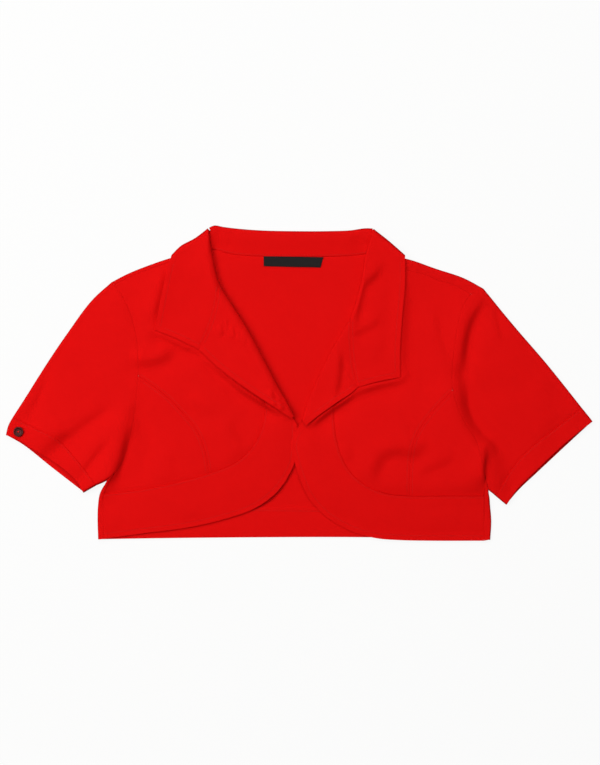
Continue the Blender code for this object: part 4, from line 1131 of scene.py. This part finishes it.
def collarEnd(half):
    # one front end of the collar: rows from the shoulder fold down to the gorge
    distance = np.linspace(0.0, knotAt(half["roll"], half["gorgeKnot"]), 120)
    inner = along(curve(half["roll"]), distance)
    outer, shoulder, gorge, edge = linesOf(half, "collarEdge", "collarFold", "gorge", "collarFront")
    outer, front = outer[::-1], joined(gorge, edge)
    wall, fall = facedWall, neckCut["fallLevel"]
    gap = np.concatenate([gorgeGap(gorge), np.zeros(len(edge) - 1)])
    run = lengths(shoulder)
    wrap = (turnedLift(shoulder, half) - fall) / 2 + wall / 2
    wrap = wrap * (1.0 - 0.35 * smoothStep((run / run[-1] - 0.6) / 0.4))
    wrap = wrap * (0.3 + 0.7 * smoothStep(run / 12.0))
    reach = rollInset(distance, half)
    plan = panelGrid(trimmed(shoulder, outer, front, inner, (wrap, 0, gap, reach)), layers["fineStep"])
    rollCrest = sampled(trimmed(shoulder, outer, front, inner, (wrap, 0, gap, 0))[3], plan.shape[0] - 1)
    foldCrest = sampled(trimmed(shoulder, outer, front, inner, (0, 0, gap, reach))[0], plan.shape[1] - 1)

    def lift(p):
        rise = edgeRise(p, outer, half["edgeLift"][1]) + edgeRise(p, edge, half["edgeLift"][1] * 0.5)
        return turnedLift(p, half) + seamRelief(p, [(gorge, "open")]) + rise

    rowA = stitchRows(plan, [(outer, stitches["edgeRow"]), (edge, stitches["edgeRow"])])
    rowB = stitchRows(plan, [(gorge, stitches["gorgeRow"])])
    sew(outer[::-1], stitches["edgeRow"], half["sign"], lift, wall, (5.5, 6.0))
    sew(edge, stitches["edgeRow"], half["sign"], lift, wall, (2.5, 5.5))
    sew(gorge, stitches["gorgeRow"], half["sign"], lift, wall, (5.0, 6.0))
    grids = turnedTop(half, plan, rollCrest, lift, rowA, rowB)
    strip = folded(plan[0], foldCrest, grids[0][0][0, :, 2], np.full(plan.shape[1], fall), wall)
    return grids + [rolled(strip, foldCrest - plan[0])], strip[-1, :, :2]


def collarFall():
    # both front ends on top, and the part under the neck's back between them
    rightGrids, left = collarEnd(rightHalf)
    leftGrids, right = collarEnd(leftHalf)
    radius = (neckCut["standTop"] - neckCut["fallLevel"]) / 2
    roll = shifted(curve(neckCut["backRoll"]), facedWall / 2 + radius + layers["rollRoom"], -1)
    count, rows = 120, max(len(left), len(right)) - 1
    roll, edge = sampled(roll, count, 0.0), sampled(curve(neckCut["fallEdge"]), count, 0.0)
    left, right = sampled(left, rows), sampled(right, rows)
    settle = smoothStep(np.linspace(0, 1, count + 1) / 0.06)[:, None]
    roll = left[0] * (1 - settle) + roll * settle
    roll = roll * settle[::-1] + right[0] * (1 - settle[::-1])
    edge[0], edge[-1] = left[-1], right[-1]
    plan = blended(edge, right[::-1], roll, left[::-1])
    grids = rightGrids + [laid(plan, neckCut["fallLevel"])] + leftGrids
    clothPiece("collarShell", "collar_fall", grids, facedWall, 0.4)


def collarStand():
    # from the neck seam up to the back roll, and over it; the height is an even step of the share of the way
    wall, seam, rollTop = facedWall, curve(neckCut["seam"]), curve(neckCut["backRoll"])
    crest, foot = [sampled(cutLine(line, 0.2, lengths(line)[-1] - 0.2), 110, 0.0) for line in (rollTop, seam)]
    base = shifted(crest, (neckCut["standTop"] - neckCut["fallLevel"]) / 2 + wall / 2, -1)
    foot = shifted(foot, seamGap, 1)
    share = shares(12, 0.4)[:, None, None]
    plan = foot[None] * (1 - share) + base[None] * share

    def rise(part):
        return neckCut["standFoot"] + (neckCut["standTop"] - neckCut["standFoot"]) * smoothStep(part)

    def lift(p):
        return rise(awayFrom(p, seam)[0] / 25.0) + seamRelief(p, [(seam, "faced")])

    puckers = creaseLift(plan, neckCut["puckers"])
    height = rise(share[..., 0]) + seamRelief(plan, [(foot, "faced")]) + puckers + waver(plan, 0.05)
    sew(foot, stitches["bandRow"], 1, lift, wall)
    strip = folded(base, crest, height[-1], np.full(len(base), neckCut["fallLevel"]), wall)
    grids = [laid(plan, height, stitchRows(plan, [(foot, stitches["bandRow"])])), rolled(strip, crest - base)]
    clothPiece("collarStandShell", "collar_stand", grids, wall)


def backShell():
    # the back: flat on the table, turned round the sides and over the shoulders on to the front
    wall, gap = clothWall, seamGap
    sideRows, holeRows, shoulderCols = 28, 96, 56
    parts = []
    for half in (rightHalf, leftHalf):
        sign = half["sign"]
        armhole, side, shoulder = linesOf(half, "armhole", "side", "shoulder")
        hole = shifted(armhole, armholeGap(armhole), -sign)
        hole = sampled(cutLine(hole, backCut["holeFrom"], lengths(armhole)[-1] - backCut["holeTo"]), holeRows)
        sideIn = shifted(side, (baseLift(side, half) - layers["back"]) / 2 + wall / 2, sign)
        sideIn[0, 1] = side[0, 1]
        sideIn = sampled(cutLine(sideIn, 0.0, lengths(sideIn)[-1] - backCut["sideTo"]), sideRows, 0.3)
        settle = nearEnd(sideRows + 1, 0.25)
        sideIn = sideIn + settle * (hole[-1] - sideIn[-1])
        crest = sampled(side, sideRows, 0.3)
        crest = crest + settle * 0.15 * (sideIn[-1] - crest[-1])
        top = sampled(shifted(shoulder, tubeReach(wall), sign), shoulderCols, 0.3)
        settle = nearEnd(shoulderCols + 1, 0.12)[::-1]
        top = top + settle * (hole[0] - top[0])
        topCrest = sampled(shoulder, shoulderCols, 0.3)
        topCrest = topCrest + settle * 0.05 * (top[0] - topCrest[0])
        parts.append((joined(sideIn, hole[::-1]), top, crest, topCrest))
    (left, topLeft, _, _), (right, topRight, _, _) = parts
    seam = curve(neckCut["seam"])
    neck = sampled(shifted(seam, gap, -1), 96, 0.2)
    neck[0], neck[-1] = topLeft[-1], topRight[-1]
    top = joined(topLeft, neck, topRight[::-1])
    bottom = sampled(curve(backCut["hem"]), len(top) - 1, 0.4)
    bottom[0], bottom[-1] = left[0], right[0]
    plan = blended(bottom, right, top, left)
    height = backLift(plan) - neckCut["furrow"] * bell(awayFrom(plan, seam)[0], neckCut["furrowWidth"])
    grids = [laid(plan, height)]
    for half, column, (_, _, crest, topCrest) in zip((rightHalf, leftHalf), (0, -1), parts):
        rows = slice(0, sideRows + 1)
        grids.extend(sideWrap(plan[rows, column], height[rows, column], crest, half))
        order = slice(0, shoulderCols + 1) if column == 0 else slice(-1, -shoulderCols - 2, -1)
        grids.extend(shoulderWrap(plan[-1, order], height[-1, order], topCrest, half))
    clothPiece("backShell", "back_panel", grids, wall)
    middleLine = plan[:, len(top) // 2, 1]
    return plan[:int(np.argmax(middleLine > middleLine[0] + backCut["turnUp"])) + 1]


def wrapped(base, level, crest, end, seam, half):
    # half turn from the back's edge, then on to the seam on the front
    strip = folded(base, crest, level, frontLift(base, half), clothWall)
    share = shares(8, 0.3)[:, None, None]
    plan = strip[-1, :, :2][None] * (1 - share) + end[None] * share
    height = frontLift(plan, half) + seamRelief(plan, [(seam, "plain")])
    settle = smoothStep(share[..., 0] / 0.35)
    rest = raised(plan, strip[-1, :, 2][None] * (1 - settle) + height * settle)
    flat = unrolled(np.concatenate([strip, rest[1:]]), crest - base)
    return [(strip, flat[:len(strip)], None, None), (rest, flat[len(strip) - 1:], None, None)]


def sideWrap(base, level, crest, half):
    armhole, (low, high) = curve(half["armhole"]), half["sideSeam"]
    top = along(armhole, lengths(armhole)[-1] - half["underarmIn"])
    seam = joined(np.linspace(low, high, 30), np.linspace(high, top, 12))
    end = sampled(shifted(seam, seamGap, -half["sign"]), len(base) - 1, 0.3)
    end = end + nearEnd(len(base), 0.15) * 0.3 * (base[-1] - seam[-1])
    return wrapped(base, level, crest, end, seam, half)


def shoulderWrap(base, level, crest, half):
    end = shifted(half["shoulderEnd"], 2 * seamGap, -half["sign"])
    return wrapped(base, level, crest, sampled(end, len(base) - 1, 0.3), shoulderSeam(half), half)


def backHem(plan):
    # the turned-up hem lies flat on the back, and its upper edge runs in a few slow creases
    rise, wall = layers["back"] + backCut["turnUpRise"], clothWall
    plan = plan * np.array([0.998, 1.0])
    edge = plan[-1]
    height = rise + seamRelief(plan, [(edge, "edge")]) + waver(plan, 0.05)
    height = height + creaseLift(plan, backCut["hemCreases"])
    rows = stitchRows(plan, [(edge, stitches["hemRow"])])
    sew(edge, stitches["hemRow"], -1, lambda p: rise + 0.1 + 0 * p[..., 0], wall)
    clothPiece("backHemShell", "back_hem", [laid(plan, height, rows)], wall, slot="red_hem")


def tubeReach(wall):
    return (layers["front"] - layers["back"]) / 2 + wall / 2


def tubePiece(half, name, wall, lines, gaps, pull, relief, rowsA):
    # a flat tube: upper layer, folds, under layer. Lines: inner end, underarm, upper and under far end, outer
    start, under, upperEnd, underEnd, outer = lines
    reach = tubeReach(wall)
    insets = (gaps[0], reach, gaps[1], reach)
    top = panelGrid(trimmed(start, under, upperEnd, outer, insets))
    counts = (top.shape[1] - 1, top.shape[0] - 1) * 2
    low = trimmed(start, under, underEnd, outer, insets)
    below = blended(*[sampled(line, count) for line, count in zip(low, counts)])
    crests = trimmed(start, under, underEnd, outer, (gaps[0], 0, gaps[1], 0))
    high = frontLift(top, half) + seamRelief(top, relief)
    creases = [(np.array(points) * (half["sign"], 1), width, drop) for points, width, drop in underCreases]
    low = layers["back"] + layers["underRise"] + np.maximum(creaseLift(below, creases), 0.0)
    grids = [laid(top, high, stitchRows(top, rowsA) if rowsA else None)]
    for column, line, share in ((-1, crests[1], pull[1]), (0, crests[3], pull[0])):
        edge = top[:, column]
        crest = sampled(line, len(edge) - 1)
        crest = crest + nearEnd(len(edge), 0.2)[::-1] * share * (edge[0] - crest[0])
        strip = folded(edge, crest, high[:, column], low[:, column], wall)
        way = np.linspace(0.0, 1.0, len(strip))[:, None, None]
        strip[..., :2] += way * (below[:, column] - edge)[None]
        grids.append(rolled(strip, crest - edge))
    grids.append((raised(below, low), below + np.array([0.0, 500.0]), None, None))
    sidePiece(half, name, name, grids, wall)


def sleeve(half):
    armhole, under, seam, outer = linesOf(half, "armhole", "sleeveUnder", "cuffSeam", "sleeveOuter")
    lines, relief = (armhole, under, seam, seam, outer), [(armhole, "faced"), (seam, "under")]
    gaps = (armholeGap(armhole), seamGap)
    tubePiece(half, "sleeve", clothWall, lines, gaps, (0.05, 0.2), relief, None)


def cuff(half):
    lines = linesOf(half, "cuffSeam", "cuffUnder", "mouthTop", "mouthUnder", "cuffOuter")
    seam, relief = lines[0], [(lines[0], "faced"), (lines[2], "edge")]
    wall = facedWall

    def lift(p):
        return frontLift(p, half) + seamRelief(p, relief)

    sew(seam, stitches["bandRow"], half["sign"], lift, wall, (4.5, 4.5))
    rows = [(seam, stitches["bandRow"])]
    tubePiece(half, "cuff", wall, lines, (seamGap, 0), (0.0, 0.0), relief, rows)


def onBothSides(*makers):
    for maker in makers:
        maker(rightHalf)
        maker(leftHalf)


print("panels")
onBothSides(frontCentre, frontSide, hemBand)
backHem(backShell())
onBothSides(lapel)
collarFall()
collarStand()
onBothSides(sleeve, cuff)


# Stitching

def stitchBodies(rows):
    # each stitch is a short round bar: rings along the row, its ends diving into the cloth by the fifth
    # power of the distance from its middle
    random = np.random.default_rng(stitches["seed"])
    pitch = stitches["length"] + stitches["gap"]
    t = np.linspace(0.0, 1.0, 6)
    width = np.array([0.3, 0.85, 1.0, 1.0, 0.85, 0.3]) * stitches["radius"]
    dive = -stitches["dive"] * np.abs(2 * t - 1) ** 5
    angle = np.linspace(0, 2 * math.pi, 6, endpoint=False)
    bars = []
    for line, lift, wall, skip in rows:
        count = int((lengths(line)[-1] - sum(skip)) / pitch)
        start = skip[0] + np.arange(count) * pitch + random.normal(0, stitches["uneven"], count)
        place = along(line, start[:, None] + t * stitches["length"])
        place = place + random.normal(0, stitches["astray"], (count, 1, 2))
        run = place[:, -1:] - place[:, :1]
        run = run / np.linalg.norm(run, axis=2, keepdims=True)
        across = np.stack([-run[..., 1], run[..., 0], 0 * run[..., 0]], axis=-1)[:, :, None]
        level = lift(place) + wall / 2 + stitches["radius"] * 0.6 + dive
        centre = raised(place, level)[:, :, None]
        around = across * np.cos(angle)[:, None] + np.array([0, 0, 1.0]) * np.sin(angle)[:, None]
        bars.append(centre + around * width[:, None, None])
    return np.concatenate(bars)


def stitchPiece(name, rows):
    bars = stitchBodies(rows)
    index = np.arange(bars[..., 0].size).reshape(bars.shape[:3])
    ends = np.concatenate([index[:, 0, ::-1], index[:, -1]])
    mesh = bpy.data.meshes.new(name)
    mesh.from_pydata((bars.reshape(-1, 3) - middle) * mm, [], ringQuads(index).tolist() + ends.tolist())
    dressed(name, mesh, redThread)
    print("piece", name, len(bars), "stitches")


print("stitching", len(sewnRows), "rows")
stitchPiece("topStitching", sewnRows)


# Label

label = {
    "box": (-38.5, 27.0, 128.0, 138.6),      # x from, x to, y from, y to
    "wall": 0.35,
    "turn": 6.0,             # folded under at both ends, round this radius
    "radius": 0.28,
    "lift": 0.75,
    "slant": 3.2,            # lower right corner is caught in
    "tilt": 1.0,
    "wave": 0.25,            # waviness of its lower edge, in plan and in height
    "row": 1.2,              # the groove's distance from its upper edge
}


def neckLabel():
    # a woven ribbon across x; both ends turn under in a half circle and run back
    xFrom, xTo, yFrom, yTo = label["box"]
    radius = label["radius"]
    flat = np.linspace(xFrom + radius, xTo - radius, 60)
    half = np.linspace(0.0, math.pi, 8)[1:]
    back = np.linspace(0.0, label["turn"], 6)[1:]
    out = np.concatenate([radius * np.sin(half), -back])
    down = np.concatenate([radius * (np.cos(half) - 1), 0 * back - 2 * radius])
    x = np.concatenate([(xFrom + radius - out)[::-1], flat, xTo - radius + out])
    drop = np.concatenate([down[::-1], 0 * flat, down])
    run = np.concatenate([[0.0], np.cumsum(np.hypot(np.diff(x), np.diff(drop)))])
    y = np.linspace(yFrom, yTo, 14)
    plan = np.stack(np.meshgrid(x, y), axis=-1)
    ease = (yTo - plan[..., 1]) / (yTo - yFrom)
    across = (plan[..., 0] - xFrom) / (xTo - xFrom)
    plan[..., 0] -= label["slant"] * ease * smoothStep(across * 4 - 3)
    plan[..., 1] += label["tilt"] * (1 - across - across * ease)
    plan[..., 1] += label["wave"] * np.sin(plan[..., 0] / 17.0) * ease
    hang = (yTo - plan[..., 1]) / (yTo - yFrom)
    curl = label["wave"] * smoothStep(hang) * (1 + np.sin(plan[..., 0] / 11.0 + 0.6)) / 2
    height = backLift(plan) + clothWall / 2 + label["lift"] + drop[None] + curl
    rows = np.abs(yTo - label["row"] - plan[..., 1])
    grid = (raised(plan, height), np.stack(np.meshgrid(run, y), axis=-1), rows, None)
    clothPiece("neckLabelShell", "neck_label", [grid], label["wall"], 0.1, "label_cloth")


neckLabel()


# Button

button = {
    "at": (-308.0, -53.5),
    "radius": 5.5,
    "depth": 2.4,
    "shank": 0.55,           # room between the cuff and the button
    "shankRadius": 0.9,
    "dish": 0.60,            # height of the dish's floor, as a share of the depth
    "turn": 0.25,            # turn of the four holes, radians
    "holeRing": 1.25,        # holes' distance from the middle
    "holeRadius": 0.62,
    "holeDepth": 1.0,
    "holeEdge": 0.28,
    "threadRadius": 0.24,
    # profile, as shares of radius and depth: the under side out to the rim, then the rim, lip and dish
    "under": [(0.0, 0.0), (0.70, 0.0), (0.93, 0.24), (1.0, 0.56)],
    "over": [(1.0, 0.56), (0.965, 0.86), (0.86, 1.0), (0.74, 0.92), (0.62, 0.68), (0.3, 0.60), (0.0, 0.60)],
}


def buttonMaterial():
    # horn: streaks of a stretched noise between two browns, and a fine roughness
    material, tree, shader = newMaterial("darkHornButton")
    place = made(tree, "TexCoord", {})["Object"]
    turn = {"Vector": place, "Rotation": (0.0, 0.0, 0.6), "Scale": (1.0, 3.2, 1.0)}
    turn = made(tree, "Mapping", turn)[0]
    streak = {"Vector": turn, "Scale": 420.0, "Detail": 5.0, "Distortion": 0.8}
    streak = made(tree, "TexNoise", streak)["Fac"]
    fine = made(tree, "TexNoise", {"Vector": place, "Scale": 2600.0})["Fac"]
    feed(tree, shader, {
        "Coat Weight": 0.04,
        "Specular IOR Level": 0.15,
        "Coat Roughness": 0.2,
        "Base Color": ramped(tree, streak, (0.3, (0.022, 0.003, 0.003)), (0.75, (0.13, 0.012, 0.010))),
        "Roughness": maths(tree, "MULTIPLY_ADD", fine, 0.22, 0.22),
        "Normal": made(tree, "Bump", {"Distance": 0.00003, "Height": fine})[0],
    })
    return material


def cuffButton():
    # profile turned round the middle, then four holes sunk by the distance to each hole's centre
    x, y = button["at"]
    size = np.array([button["radius"], button["depth"]])
    cloth = float(frontLift(np.array([[x, y]]), rightHalf)[0]) + facedWall / 2
    foot = cloth + button["shank"]
    under, over = curve(np.array(button["under"]) * size, 12), curve(np.array(button["over"]) * size, 12)
    profile = joined(cutLine(under, 0.0, lengths(under)[-1], 16), cutLine(over, 0.0, lengths(over)[-1], 64))
    angle = np.linspace(0, 2 * math.pi, 96, endpoint=False)
    radius = np.clip(profile[:, 0], 0.0, size[0])[:, None] + 0 * angle
    px, py = radius * np.cos(angle), radius * np.sin(angle)
    pz = profile[:, 1][:, None] + 0 * angle
    top = (np.arange(len(profile)) > 20)[:, None]
    for quarter in range(4):
        a = math.pi / 4 + quarter * math.pi / 2 + button["turn"]
        away = np.hypot(px - button["holeRing"] * math.cos(a), py - button["holeRing"] * math.sin(a))
        sunk = button["holeDepth"] * smoothStep((button["holeRadius"] - away) / button["holeEdge"])
        pz = pz - np.where(top, sunk, 0.0)
    points = np.stack([x + px, y + py, foot + pz], axis=-1)
    quads = ringQuads(np.arange(px.size).reshape(px.shape))
    body = roundPiece("cuffButtonBody", points.reshape(-1, 3), quads, buttonMaterial())
    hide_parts("cuff_button")
    return foot + size[1] * button["dish"], cloth


def roundPiece(name, points, quads, material):
    mesh = bpy.data.meshes.new(name)
    mesh.from_pydata((points - middle) * mm, [], quads)
    cleaned(mesh, 2e-6, 1e-7)
    print("piece", name, len(mesh.vertices), "points")
    return dressed(name, mesh, material)


def tubeAlong(path, radius, sides=10):
    # rings square to the path, closed at both ends by a narrow ring
    run = np.gradient(path, axis=0)
    run = run / np.linalg.norm(run, axis=1)[:, None]
    side = np.cross(run, np.array([0.13, 0.21, 0.97]))
    side = side / np.linalg.norm(side, axis=1)[:, None]
    angle = np.linspace(0, 2 * math.pi, sides, endpoint=False)
    width = np.full(len(path), radius)
    width[[0, -1]] = radius * 0.02
    ring = side[:, None] * np.cos(angle)[:, None] + np.cross(side, run)[:, None] * np.sin(angle)[:, None]
    return (path[:, None] + ring * width[:, None, None]).reshape(-1, 3)


def buttonThread(dish, cloth):
    # two strands through each pair of holes, crossing in the dish, and a wound shank under the button
    x, y = button["at"]
    sides, paths = 10, []
    t = np.linspace(-1.0, 1.0, 17)
    for pair, turn in enumerate((math.pi / 4 + button["turn"], 3 * math.pi / 4 + button["turn"])):
        way = np.array([math.cos(turn), math.sin(turn)])
        side = np.array([-way[1], way[0]])
        for strand in (-0.17, 0.17):
            flat = np.array([x, y]) + (t * button["holeRing"])[:, None] * way + strand * side
            paths.append(raised(flat, dish + 0.25 + 0.16 * pair - 1.0 * np.abs(t) ** 7))
    t = np.linspace(0.0, 4 * 2 * math.pi, 90)
    wound = np.stack([x + button["shankRadius"] * np.cos(t), y + button["shankRadius"] * np.sin(t)], axis=-1)
    paths.append(raised(wound, cloth - 0.1 + 0.85 * t / t[-1]))
    points = [tubeAlong(path, button["threadRadius"], sides) for path in paths]
    starts = np.cumsum([0] + [len(p) for p in points[:-1]])
    quads = [ringQuads(start + np.arange(len(p)).reshape(-1, sides)) for start, p in zip(starts, points)]
    roundPiece("cuffButtonThread", np.vstack(points), np.vstack(quads), redThread)


buttonThread(*cuffButton())


# Floor, light, camera

stage = {
    "floor": (0.09, 0.09, 0.0895),
    "floorHalf": 3.0,        # half the floor's width, and how far it lies below the jacket
    "floorDrop": 0.0003,
    "glow": 0.89,            # the floor's own pale shine, seen but not cast on the cloth
    "sky": 0.19,             # even light from all round
    # soft boxes: power, place, size
    "boxes": {
        "overhead": (16.0, (-0.3, 0.3, 2.45), 2.0),
        "left": (29.5, (-1.7, 0.25, 1.9), 1.5),
        "top": (23.5, (0.0, 1.7, 2.0), 1.5),
    },
    "camera": (0.0009, 0.00114, 1.992),
    "lens": 85.0,
}


def floorPlane():
    mesh = bpy.data.meshes.new("studioFloor")
    wide, low = stage["floorHalf"], -stage["floorDrop"]
    corners = [(-wide, -wide, low), (wide, -wide, low), (wide, wide, low), (-wide, wide, low)]
    mesh.from_pydata(corners, [], [(0, 1, 2, 3)])
    material, tree, shader = newMaterial("paleFloor")
    seen = made(tree, "LightPath", {})["Is Camera Ray"]
    feed(tree, shader, {
        "Roughness": 0.95,
        "Specular IOR Level": 0.0,
        "Base Color": (*stage["floor"], 1.0),
        "Emission Color": (1.0, 1.0, 0.997, 1.0),
        "Emission Strength": maths(tree, "MULTIPLY", seen, stage["glow"]),
    })
    mesh.materials.append(material)
    linked("studioFloor", mesh)


def studioLight():
    world = bpy.data.worlds.new("studio")
    world.use_nodes = True
    sky = world.node_tree.nodes["Background"].inputs
    feed(world.node_tree, sky, {"Color": (1.0, 1.0, 1.0, 1.0), "Strength": stage["sky"]})
    bpy.context.scene.world = world
    for name, (power, place, size) in stage["boxes"].items():
        data = bpy.data.lights.new(name, "AREA")
        data.shape = "DISK"
        data.size = size
        data.energy = power
        light = linked(name, data)
        light.location = place
        tilt = math.acos(place[2] / np.linalg.norm(place))
        light.rotation_euler = (tilt, 0.0, math.atan2(-place[1], -place[0]) - math.pi / 2)


def studioCamera():
    data = bpy.data.cameras.new("overhead")
    data.lens = stage["lens"]
    data.sensor_width = 36.0
    data.clip_end = 20.0
    camera = linked("overhead", data)
    camera.location = stage["camera"]
    bpy.context.scene.camera = camera


floorPlane()
studioLight()
studioCamera()
bpy.context.scene.view_settings.view_transform = "Standard"
print("floor, light and camera")
